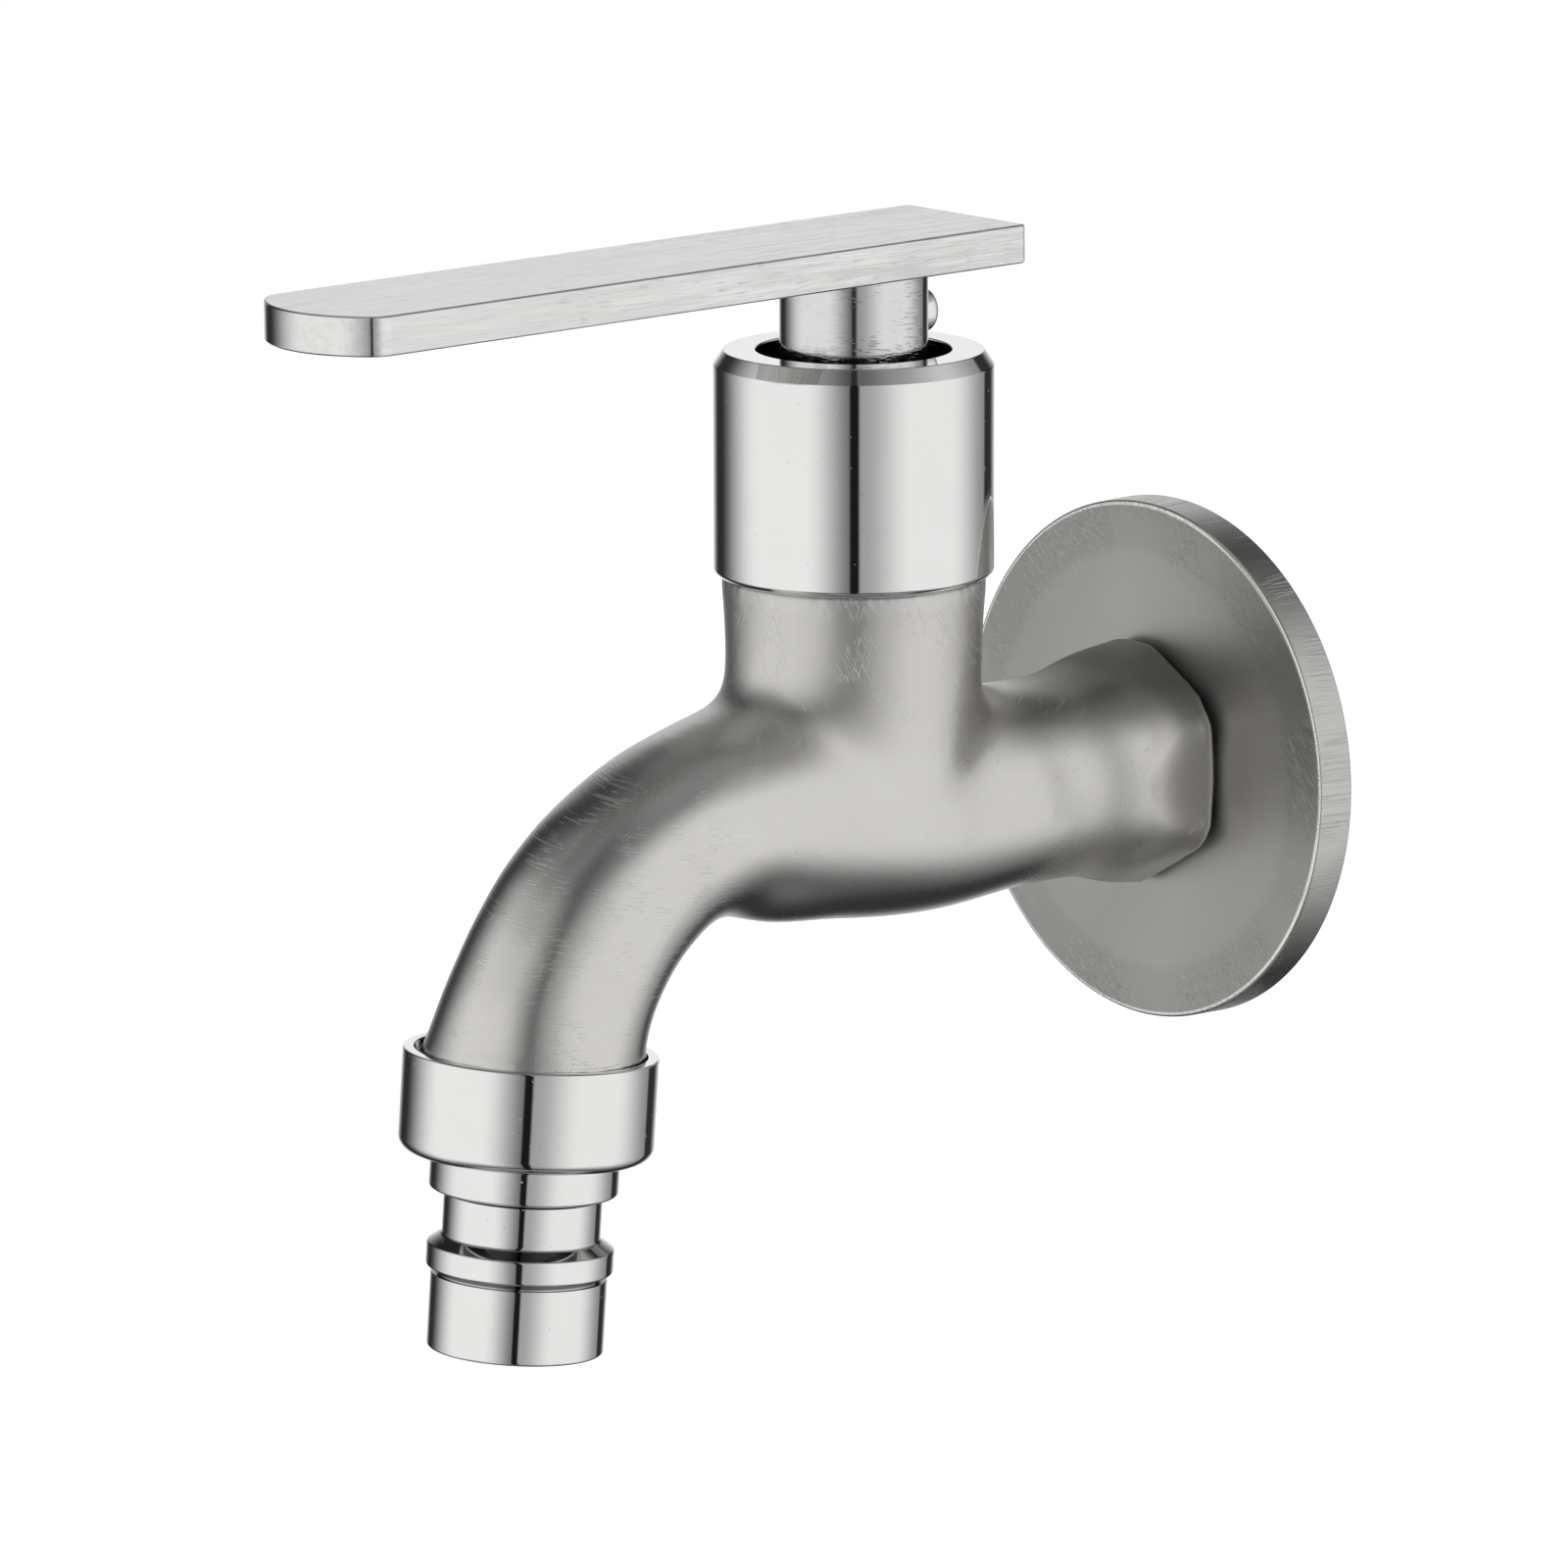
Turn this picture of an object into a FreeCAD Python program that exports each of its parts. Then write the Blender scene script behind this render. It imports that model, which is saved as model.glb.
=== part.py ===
import FreeCAD, Part

import math
import os

# Wall-mounted washing machine tap in stainless steel, in millimetres.
# The origin is the centre of the wall face on the inlet axis. +Y goes into the wall, -Y out over
# the basin, +Z up. The upright valve axis and the leaning outlet axis lie in the plane X = 0.

V = FreeCAD.Vector
UP = V(0, 0, 1)
INTO_WALL = V(0, 1, 0)
ACROSS = V(1, 0, 0)

# Stand of the tap
valve_reach = 45.6            # wall face to the upright valve axis
spout_reach = 44.0            # valve axis to the middle of the union nut's top
outlet_drop = 19.1            # inlet axis down to the middle of the union nut's top
outlet_tilt = 4.5             # degrees that the outlet leans away from the wall

# Clearances
running_gap = 0.05            # between faces that slide on each other
thread_gap = 0.06             # radial play drawn in each screwed joint
slip_gap = 0.08               # radial play of a collar that turns in a hole
hand_gap = 0.5                # between the handle and the fixed pieces under it
headwork_play = 0.05          # radial play of the headwork's thread and of the cover on its spigot
cage_play = 0.6               # radial room round the headwork's cage in the chamber
disc_play = 0.15
washer_play = 0.2             # radial play of the washers round the stem
screw_head_play = 0.3
gasket_inset = 0.3            # gaskets stop this far inside the edges of their seats

# Working sizes
overlap = 1.0                 # how far forms run into each other before they are joined or cut
corner_steps = 3              # straight steps in each turned round corner
near = 1e-4                   # lengths closer than this count as equal

# Half-inch pipe thread, drawn as a plain cylinder of its outer size
pipe_thread_d = 20.955

# Wall flange: a pressed cup
flange_depth = 4.5
flange_front_d = 56.5
flange_back_d = 56.7
flange_sheet = 1.2
flange_edge_round = 0.7
flange_hole_play = 0.35       # radial play round the inlet's thread

# Inlet tail and barrel of the cast body
inlet_length = 13.0           # tail past the wall face
relief_past_wall = -1.0       # the thread runs out 1 mm in front of the wall face
relief_depth = 0.3
tail_chamfer = 0.8
inlet_bore_d = 12.0
boss_height = 0.6             # turned face that bears on the flange
boss_d = 23.4
hex_af = 24.5
hex_corner_round = 3.0
hex_shoulder_d = 27.2         # hexagon's corners turned off to this diameter
hex_flare_start = 21.0        # wall face to where the barrel starts to swell
hex_flare_mid = 15.5
hex_flare_mid_d = 24.4
hex_length = 4.9              # full shoulder before the boss
barrel_d = 22.0

# Belly under the valve, as ovals across the body: distance in front of the valve axis, height of
# the middle, climb in degrees, half width and half height
belly_sections = [
    (-20.6, 0.0, 0.0, 11.2, 11.06),
    (-14.6, 0.0, 0.0, 12.2, 11.5),
    (-8.1, 0.0, 0.0, 13.0, 11.9),
    (0.0, 0.3, 2.0, 13.4, 11.7),
    (7.9, 1.6, 4.0, 12.9, 11.85),
    (14.9, 2.45, 0.0, 11.9, 11.2),
]

# Valve chamber and neck
chamber_d = 26.6
chamber_foot = 0.0            # the chamber's outside starts here, hidden in the belly
chamber_taper_start = 8.0
neck_flare = 0.65             # what the neck gains on the radius up to the cover
cover_seat = 25.6             # shoulder that the cover stands on
neck_spigot_d = 25.2
neck_top = 30.0
neck_blend = 5.5

# Waterways
seat_bore_d = 9.6
chamber_floor = 7.5
seat_height = 1.0
seat_ring_d = 16.6
chamber_bore_d = 19.2
bridge_wall = 3.6             # between the seat's bore and the pocket behind it
pocket_floor = 1.0
spout_wall = 2.3

# Spout: one smooth curve from the valve axis to the union nut
spout_start_height = 3.3
spout_rise = 11.0             # degrees that the curve climbs as it leaves the valve
spout_lead = 35.7             # how far the curve keeps to its first direction
spout_end_lead = 1.5
spout_root_d = 18.0
spout_middle_d = 21.2
spout_end_d = 22.3
spout_oval = [(0.3, 10.8), (0.55, 10.6)]   # shares of the curve and half widths there
spout_shoulder = 1.0          # plain end below the union nut's top
skin_degree = 3               # of the skins laid over the sections
oval_points = 8               # points that each section's closed curve runs through
passage_stations = 5
spout_mouth_d = 16.0

# Headwork: a quarter-turn ceramic valve
cage_wall = 0.75
cage_past_disc = 1.7
seal_height = 2.5
seal_width = 2.0
seal_in_d = 12.4
ring_width = 0.9
disc_height = 3.0
port_in_r = 2.2
port_out_r = 6.2
port_half_angle = 38.0
ear_width = 2.8
driver_height = 2.4
tang_height = 1.4
tang_width = 3.2
tang_in_r = 2.8
tang_out_r = 6.6
slide_washer_height = 0.8
stem_d = 10.0
window_height = 2.95
window_width = 9.0
gasket_height = 1.0
bonnet_hex_af = 21.0
bonnet_hex_height = 5.5
bonnet_top_d = 16.0
bonnet_top_height = 5.0
stop_depth = 3.0
stop_reach = 1.6              # how far the stop lug stands out of the stem
stop_play = 0.3
stop_half_angle = 20.0
handle_travel = 90.0
stop_end_play = 1.0           # degrees past the travel before the lug meets its stop
top_washer_height = 0.5
circlip_height = 0.8
circlip_width = 2.2
circlip_groove = 0.8
spline_d = 7.9
spline_teeth = 20
spline_depth = 0.45
oring_groove_width = 1.9
oring_groove_depth = 1.1
oring_first_drop = 9.0        # bonnet's top down to the upper ring
oring_spacing = 4.5
oring_sides = 12              # straight sides that the rings' round section is drawn with

# Cover round the headwork
cover_d = 29.5
cover_height = 23.9
cover_top_d = 27.36
cover_top_chamfer = 1.6
cover_foot_chamfer = 0.55
cover_bore_d = 20.56
cover_lip = 2.6

# Handle
post_d = 15.6
lever_lift = 8.35             # cover's top to the lever's underside
lever_thickness = 4.1
lever_width = 18.7
lever_front = 75.5            # valve axis to the lever's round tip
lever_back = 15.85            # valve axis to the lever's square tail
lever_dip = 0.5               # degrees that the lever falls towards its tip
lever_corner_round = 0.5
lever_edge_chamfer = 0.25
screw_drop = 5.2              # lever's underside down to the handle screw
screw_head_d = 5.0
screw_head_height = 2.6
screw_head_round = 0.8
screw_shank_d = 3.8
screw_spot_depth = 0.4
screw_bite = 0.1              # gap between the screw's point and the spline
spline_past_screw = 1.0

# Union nut and nozzle, measured down the outlet axis from the nut's top
nut_d = 26.56
nut_height = 10.7
nut_foot_round = 1.4
nut_counterbore_d = 24.2
nut_counterbore_depth = 1.5
nut_lip = 1.5
nozzle_gasket_height = 1.2
nozzle_flange_height = 1.45
nozzle_flange_d = 20.6
nozzle_collar_d = 19.7
nozzle_collar_end = 14.6
nozzle_neck_d = 16.5
nozzle_neck_end = 19.4
nozzle_ring_d = 19.5
nozzle_ring_start = 20.4
nozzle_ring_end = 22.9
nozzle_groove_d = 17.9
nozzle_groove_width = 0.4
nozzle_barrel_d = 18.4
nozzle_length = 31.4
nozzle_bore_d = 13.0
nozzle_edge = 0.35

# Levels on the valve axis that follow from the stack of pieces
seat_top = chamber_floor + seat_height
disc_bottom = seat_top + seal_height
disc_face = disc_bottom + disc_height
mover_bottom = disc_face + running_gap
mover_top = mover_bottom + disc_height
driver_top = mover_top + driver_height
washer_bottom = driver_top + running_gap
bonnet_shoulder = washer_bottom + slide_washer_height
cage_foot = disc_bottom - cage_past_disc
thread_foot = mover_top + running_gap
bonnet_seat = neck_top + gasket_height
bonnet_hex_top = bonnet_seat + bonnet_hex_height
bonnet_top = bonnet_hex_top + bonnet_top_height
top_washer_bottom = bonnet_top + running_gap
circlip_bottom = top_washer_bottom + top_washer_height + running_gap
circlip_top = circlip_bottom + circlip_height
post_bottom = circlip_top + hand_gap
cover_top = cover_seat + cover_height
lever_bottom = cover_top + lever_lift
lever_top = lever_bottom + lever_thickness
screw_level = lever_bottom - screw_drop
spindle_top = screw_level + screw_shank_d / 2 + spline_past_screw

# Radii that follow from what fits in what
thread_r = pipe_thread_d / 2
neck_bore_r = thread_r
bonnet_thread_r = neck_bore_r - headwork_play
chamber_bore_r = chamber_bore_d / 2
cage_r = chamber_bore_r - cage_play
cage_bore_r = cage_r - cage_wall
disc_r = cage_bore_r - disc_play
stem_r = stem_d / 2
stem_bore_r = stem_r + running_gap
seal_out_r = seal_in_d / 2 + seal_width
stop_r = stem_r + stop_reach
spline_r = spline_d / 2
circlip_groove_r = stem_r - circlip_groove
post_r = post_d / 2

# Depths below the union nut's top
nozzle_flange_end = nut_height - nut_lip - running_gap
nozzle_flange_start = nozzle_flange_end - nozzle_flange_height
spout_end_depth = nozzle_flange_start - nozzle_gasket_height - running_gap

# Axes
valve_foot = V(0, -valve_reach, 0)
outlet_lean = math.radians(outlet_tilt)
outlet_axis = V(0, -math.sin(outlet_lean), -math.cos(outlet_lean))
nut_top = V(0, -valve_reach - spout_reach, -outlet_drop)


def turned(corners, at, along):
    """Solid turned about the line through `at` along `along`; corners are (radius, height)."""
    points = [V(r, 0, h) for r, h in corners]
    face = Part.Face(Part.makePolygon(points + points[:1]))
    solid = face.revolve(V(0, 0, 0), UP, 360)
    solid.Placement = FreeCAD.Placement(at, FreeCAD.Rotation(UP, along))
    return solid


def on_valve(corners):
    return turned(corners, valve_foot, UP)


def on_inlet(corners):
    return turned(corners, V(0, 0, 0), INTO_WALL)


def on_outlet(corners):
    return turned(corners, nut_top, outlet_axis)


def disc(radius, low, high):
    return [(0, low), (radius, low), (radius, high), (0, high)]


def ring(inner, outer, low, high):
    return [(inner, low), (outer, low), (outer, high), (inner, high)]


def soft_corner(radius, height, size, inward):
    """Outer corner rounded in steps; `inward` is 1 where the form lies above it and -1 below."""
    angles = [math.pi / 2 * step / corner_steps for step in range(corner_steps + 1)]
    return [(radius - size * (1 - math.cos(angle)), height + inward * size * (1 - math.sin(angle)))
            for angle in angles]


def sector(inner, outer, middle_angle, half_angle, low, high):
    """Piece of a ring on the valve axis, its middle turned middle_angle from +X."""
    start = V(0, -valve_reach, low)
    wedge = Part.makeCylinder(outer, high - low, start, UP, 2 * half_angle)
    wedge.rotate(start, UP, middle_angle - half_angle)
    return wedge.cut(Part.makeCylinder(inner, high - low, start, UP))


def block(low, high):
    return Part.makeBox(high.x - low.x, high.y - low.y, high.z - low.z, low)


def hexagon(across_flats, at, along):
    """Hexagonal prism from `at` to `at + along`, with one corner on top or on +Y."""
    corner_r = across_flats / math.sqrt(3)
    other = UP if abs(along.z) < near else INTO_WALL
    side = along.cross(other)
    side.normalize()
    corners = []
    for step in range(6):
        angle = math.radians(60 * step)
        corners.append(at + other * (corner_r * math.cos(angle)) + side * (corner_r * math.sin(angle)))
    return Part.Face(Part.makePolygon(corners + corners[:1])).extrude(along)


def rounded(solid, radius, picks):
    """Fillet on the edges for which picks(edge) is true."""
    return solid.makeFillet(radius, [edge for edge in solid.Edges if picks(edge)])


def blended(form, other, radius):
    """Two forms joined, with a fillet along the line where they meet."""
    joined = form.fuse(other).removeSplitter()
    return rounded(joined, radius, lambda edge: lies_on(edge, form) and lies_on(edge, other))


def chamfered(solid, size, picks):
    return solid.makeChamfer(size, [edge for edge in solid.Edges if picks(edge)])


def lies_level(edge, level):
    box = edge.BoundBox
    return abs(box.ZMin - level) < near and abs(box.ZMax - level) < near


def lies_on(edge, shape):
    """True where five points along the edge are on the outside of the shape."""
    span = edge.LastParameter - edge.FirstParameter
    points = [edge.valueAt(edge.FirstParameter + span * step / 4) for step in range(5)]
    return all(shape.Shells[0].distToShape(Part.Vertex(point))[0] < 10 * near for point in points)


# Cast body

def neck_form():
    """Upright chamber and neck, opening slightly towards the cover."""
    return on_valve([(0, chamber_foot), (chamber_d / 2, chamber_foot),
                     (chamber_d / 2, chamber_taper_start),
                     (chamber_d / 2 + neck_flare, cover_seat), (0, cover_seat)])


def shoulder_front():
    return -(flange_depth + boss_height)


def barrel_end():
    """Barrel's end at the wall: it flares into a hexagon whose corners are turned off."""
    front = shoulder_front()
    full = front - hex_length
    flare = Part.BSplineCurve()
    flare.interpolate([V(barrel_d / 2, 0, -hex_flare_start), V(hex_flare_mid_d / 2, 0, -hex_flare_mid),
                       V(hex_shoulder_d / 2, 0, full)], InitialTangent=UP, FinalTangent=UP)
    corners = [V(hex_shoulder_d / 2, 0, full), V(hex_shoulder_d / 2, 0, front), V(0, 0, front),
               V(0, 0, -hex_flare_start), V(barrel_d / 2, 0, -hex_flare_start)]
    sides = [Part.LineSegment(a, b).toShape() for a, b in zip(corners, corners[1:])]
    face = Part.Face(Part.Wire(Part.__sortEdges__(sides + [flare.toShape()])))
    turned_end = face.revolve(V(0, 0, 0), UP, 360)
    turned_end.Placement = FreeCAD.Placement(V(0, 0, 0), FreeCAD.Rotation(UP, INTO_WALL))
    prism = hexagon(hex_af, V(0, -hex_flare_start, 0), V(0, front + hex_flare_start, 0))
    return turned_end.common(rounded(prism, hex_corner_round, lambda edge: edge.BoundBox.YLength > overlap))


def spout_curve():
    rise = math.radians(spout_rise)
    start = V(0, -valve_reach, spout_start_height)
    lead = start + V(0, -math.cos(rise), math.sin(rise)) * spout_lead
    curve = Part.BezierCurve()
    end = nut_top + outlet_axis * spout_shoulder
    curve.setPoles([start, lead, end - outlet_axis * spout_end_lead, end])
    return curve


def spout_height(share):
    """Height of the spout's section at a share of its curve."""
    rest = 1 - share
    return rest ** 2 * spout_root_d + 2 * share * rest * spout_middle_d + share ** 2 * spout_end_d


def oval(middle, way, half_width, half_height):
    """Smooth oval across `way`, which lies in the plane X = 0."""
    upright = ACROSS.cross(way)
    angles = [2 * math.pi * point / oval_points for point in range(oval_points)]
    points = [middle + ACROSS * (half_width * math.cos(angle)) + upright * (half_height * math.sin(angle))
              for angle in angles]
    curve = Part.BSplineCurve()
    curve.interpolate(Points=points, PeriodicFlag=True)
    return Part.Wire(curve.toShape())


def run_form():
    """Barrel, belly and spout as one skin over ovals, from the hexagon's flare to the nut."""
    barrel = Part.Circle(V(0, -hex_flare_start, 0), -INTO_WALL, barrel_d / 2)
    hoops = [Part.Wire(barrel.toShape())]
    for ahead, height, climb, half_width, half_height in belly_sections:
        slope = math.radians(climb)
        way = V(0, -math.cos(slope), math.sin(slope))
        hoops.append(oval(V(0, -valve_reach - ahead, height), way, half_width, half_height))
    curve = spout_curve()
    for share, half_width in spout_oval + [(1, spout_end_d / 2)]:
        way = curve.tangent(share)[0]
        hoops.append(oval(curve.value(share), way, half_width, spout_height(share) / 2))
    return Part.makeLoft(hoops, True, False, False, skin_degree)


def passage_form():
    """Round waterway along the spout's curve, from the chamber to the spout's end."""
    curve = spout_curve()
    first = curve.parameter(V(0, -valve_reach - chamber_bore_d / 2, spout_start_height))
    spacing = curve.length(first, 1) / (passage_stations - 1)
    hoops = []
    for station in range(passage_stations):
        share = curve.parameterAtDistance(spacing * station, first)
        bore_r = spout_height(share) / 2 - spout_wall
        hoops.append(oval(curve.value(share), curve.tangent(share)[0], bore_r, bore_r))
    return Part.makeLoft(hoops, True, False, False, skin_degree)


def waterways():
    """Inlet bore, seat, upper chamber, the pocket behind the bridge and the spout's passage."""
    seat_bore_r = seat_bore_d / 2
    inlet = on_inlet(disc(inlet_bore_d / 2, -valve_reach - seat_bore_r / 2, inlet_length + overlap))
    seat_bore = on_valve(disc(seat_bore_r, 0, seat_top + overlap))
    upper = on_valve(disc(chamber_bore_r, chamber_floor, neck_top + overlap))
    upper = upper.cut(on_valve(ring(seat_bore_r, seat_ring_d / 2, chamber_floor, seat_top)))
    bridge = -valve_reach - seat_bore_r - bridge_wall
    side = chamber_bore_d
    pocket = on_valve(disc(chamber_bore_r, pocket_floor, chamber_floor + seat_height))
    pocket = pocket.common(block(V(-side, bridge - side, pocket_floor), V(side, bridge, neck_top)))
    mouth = on_outlet(disc(spout_mouth_d / 2, 0, spout_end_depth + overlap))
    return [inlet, seat_bore, upper, pocket, passage_form(), mouth]


def tap_body():
    front = shoulder_front()
    relief_r = thread_r - relief_depth
    neck = on_valve(disc(neck_spigot_d / 2, cover_seat - overlap, neck_top))
    boss = on_inlet(disc(boss_d / 2, front - overlap, -flange_depth))
    root = -flange_depth - overlap
    tail = on_inlet([(0, root), (relief_r, root), (relief_r, relief_past_wall),
                     (thread_r, relief_past_wall), (thread_r, inlet_length - tail_chamfer),
                     (thread_r - tail_chamfer, inlet_length), (0, inlet_length)])
    spout_end = on_outlet(disc(thread_r, 0, spout_end_depth))
    outside = blended(neck_form(), run_form(), neck_blend)
    body = outside.fuse([barrel_end(), neck, boss, tail, spout_end])
    neck_bore = on_valve(disc(neck_bore_r, thread_foot - overlap, neck_top + overlap))
    return body.cut(waterways() + [neck_bore]).removeSplitter()


def wall_flange():
    """Pressed cup with a rolled front edge, open towards the wall."""
    front_r, back_r = flange_front_d / 2, flange_back_d / 2
    edge = soft_corner(front_r, -flange_depth, flange_edge_round, 1)
    cup = on_inlet([(0, 0), (back_r, 0)] + edge + [(0, -flange_depth)])
    floor = flange_sheet - flange_depth
    inside = on_inlet([(0, overlap), (back_r - flange_sheet, overlap), (back_r - flange_sheet, 0),
                       (front_r - flange_sheet, floor), (0, floor)])
    hole = on_inlet(disc(thread_r + flange_hole_play, -flange_depth - overlap, overlap))
    return cup.cut([inside, hole])


# Headwork

def ear_pair(radius, width, low, high):
    """Two ears on +Y and -Y of the valve axis, cut to the given radius."""
    bar = block(V(-width / 2, -valve_reach - radius, low), V(width / 2, -valve_reach + radius, high))
    return bar.common(on_valve(disc(radius, low, high)))


def tang_pair(play, low, high):
    """Two tongues on +X and -X of the valve axis that drive the upper disc."""
    half = tang_width / 2 + play
    outer, inner = tang_out_r + play, tang_in_r - play
    bar = block(V(-outer, -valve_reach - half, low), V(outer, -valve_reach + half, high))
    return bar.cut(block(V(-inner, -valve_reach - half, low), V(inner, -valve_reach + half, high)))


def bonnet():
    """Brass headwork body: cage, thread, hexagon, top with the stop's recess."""
    outside = on_valve([(0, cage_foot), (cage_r, cage_foot), (cage_r, thread_foot),
                        (bonnet_thread_r, thread_foot), (bonnet_thread_r, bonnet_seat),
                        (0, bonnet_seat)])
    nut = hexagon(bonnet_hex_af, V(0, -valve_reach, bonnet_seat), UP * bonnet_hex_height)
    top = on_valve(disc(bonnet_top_d / 2, bonnet_hex_top, bonnet_top))
    pocket = on_valve(disc(cage_bore_r, cage_foot - overlap, bonnet_shoulder))
    stem_hole = on_valve(disc(stem_bore_r, bonnet_shoulder, bonnet_top + overlap))
    sweep = (handle_travel + 2 * stop_half_angle + 2 * stop_end_play) / 2
    recess = sector(stem_r - overlap, stop_r + stop_play, handle_travel / 2, sweep,
                    bonnet_top - stop_depth, bonnet_top + overlap)
    window_side = cage_r + overlap
    window = block(V(-window_side, -valve_reach - window_width / 2, disc_face),
                   V(window_side, -valve_reach + window_width / 2, disc_face + window_height))
    notches = ear_pair(cage_r + overlap, ear_width + disc_play, cage_foot - overlap, disc_face)
    return outside.fuse([nut, top]).cut([pocket, stem_hole, recess, window, notches]).removeSplitter()


def bonnet_gasket():
    return on_valve(ring(bonnet_thread_r, neck_spigot_d / 2 - gasket_inset, neck_top, bonnet_seat))


def seat_seal():
    return on_valve(ring(seal_in_d / 2, seal_out_r, seat_top, disc_bottom))


def seal_support_ring():
    return on_valve(ring(seal_in_d / 2 - ring_width, seal_in_d / 2, seat_top, disc_bottom))


def fixed_disc():
    """Lower ceramic disc: two ports, and two ears that stop it turning in the cage."""
    plate = on_valve(disc(disc_r, disc_bottom, disc_face))
    plate = plate.fuse(ear_pair(cage_r, ear_width, disc_bottom, disc_face))
    ports = [sector(port_in_r, port_out_r, angle, port_half_angle, disc_bottom, disc_face)
             for angle in (0, 180)]
    return plate.cut(ports)


def moving_disc():
    """Upper ceramic disc: bow tie that covers the ports at rest, with slots for the spindle."""
    plate = on_valve(disc(disc_r, mover_bottom, mover_top))
    notches = [sector(port_in_r, disc_r + overlap, angle, port_half_angle, mover_bottom, mover_top)
               for angle in (90, 270)]
    slots = tang_pair(running_gap, mover_top - tang_height - running_gap, mover_top + overlap)
    return plate.cut(notches + [slots])


def slide_washer():
    return on_valve(ring(stem_r + washer_play, disc_r, washer_bottom, bonnet_shoulder))


def oring_levels():
    first = bonnet_top - oring_first_drop
    return [first, first - oring_spacing]


def spline_head():
    """Toothed head of the spindle that the handle's post slides on."""
    points = []
    for step in range(2 * spline_teeth):
        radius = spline_r if step % 2 == 0 else spline_r - spline_depth
        angle = math.pi * step / spline_teeth
        points.append(V(radius * math.cos(angle), radius * math.sin(angle) - valve_reach, circlip_top))
    return Part.Face(Part.makePolygon(points + points[:1])).extrude(UP * (spindle_top - circlip_top))


def spindle():
    """Driver plate with two tongues, stem with ring grooves, stop lug and toothed head."""
    half_groove = oring_groove_width / 2
    groove_r = stem_r - oring_groove_depth
    corners = [(0, mover_top), (disc_r, mover_top), (disc_r, driver_top), (stem_r, driver_top)]
    for level in reversed(oring_levels()):
        corners += [(stem_r, level - half_groove), (groove_r, level - half_groove),
                    (groove_r, level + half_groove), (stem_r, level + half_groove)]
    corners += [(stem_r, circlip_bottom), (circlip_groove_r, circlip_bottom),
                (circlip_groove_r, circlip_top), (0, circlip_top)]
    lug_bottom = bonnet_top - stop_depth + running_gap
    lug = sector(stem_r - overlap, stop_r, 0, stop_half_angle, lug_bottom, bonnet_top)
    tangs = tang_pair(0, mover_top - tang_height, mover_top)
    return on_valve(corners).fuse([lug, tangs, spline_head()]).removeSplitter()


def spindle_orings():
    """Two sealing rings in the stem's grooves."""
    tube_r = (stem_bore_r - stem_r + oring_groove_depth) / 2
    middle_r = stem_bore_r - tube_r
    angles = [2 * math.pi * side / oring_sides for side in range(oring_sides)]
    rings = [on_valve([(middle_r + tube_r * math.cos(angle), level + tube_r * math.sin(angle))
                       for angle in angles]) for level in oring_levels()]
    return Part.makeCompound(rings)


def top_washer():
    top = top_washer_bottom + top_washer_height
    return on_valve(ring(stem_r + washer_play, stop_r + stop_play, top_washer_bottom, top))


def spindle_circlip():
    """Open spring ring in the spindle's groove."""
    clip = on_valve(ring(circlip_groove_r, circlip_groove_r + circlip_width, circlip_bottom, circlip_top))
    opening = block(V(0, -valve_reach - circlip_groove_r / 2, circlip_bottom),
                    V(stop_r * 2, -valve_reach + circlip_groove_r / 2, circlip_top))
    return clip.cut(opening)


# Cover and handle

def bonnet_cover():
    """Polished cover on the neck's spigot, with a lip round the handle's post."""
    bore_r, spigot_r = cover_bore_d / 2, neck_spigot_d / 2 + headwork_play
    outer_r, foot = cover_d / 2, cover_foot_chamfer
    under_lip = cover_top - cover_lip
    return on_valve([(spigot_r, cover_seat), (outer_r - foot, cover_seat), (outer_r, cover_seat + foot),
                     (outer_r, cover_top - cover_top_chamfer), (cover_top_d / 2, cover_top),
                     (bore_r, cover_top), (bore_r, under_lip), (spigot_r, under_lip)])


def spindle_socket():
    """Hole up the post for the spindle: wide over the stem, then close round the teeth."""
    wide_r, close_r = stem_r + running_gap, spline_r + running_gap
    step, top = post_bottom + hand_gap, spindle_top + hand_gap
    return on_valve([(0, post_bottom - overlap), (wide_r, post_bottom - overlap), (wide_r, step),
                     (close_r, step), (close_r, top), (0, top)])


def across_post(corners):
    return turned(corners, V(0, -valve_reach, screw_level), INTO_WALL)


def lever_post():
    """Post under the lever, its top cut to the lever's slope."""
    post = on_valve(disc(post_r, post_bottom, lever_bottom + lever_thickness / 2)).cut(lever_bar())
    shank = across_post(disc(screw_shank_d / 2 + running_gap, 0, post_r + overlap))
    spot_r = screw_head_d / 2 + screw_head_play
    spot = across_post(disc(spot_r, post_r - screw_spot_depth, post_r + overlap))
    return post.cut([spindle_socket(), shank, spot])


def handle_screw():
    """Round-headed screw that holds the post on the spline from behind."""
    shank_r, head_r = screw_shank_d / 2, screw_head_d / 2
    point, seat = spline_r + screw_bite, post_r - screw_spot_depth
    crown = seat + screw_head_height
    return across_post([(0, point), (shank_r, point), (shank_r, seat), (head_r, seat)] +
                       soft_corner(head_r, crown, screw_head_round, -1) + [(0, crown)])


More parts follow.
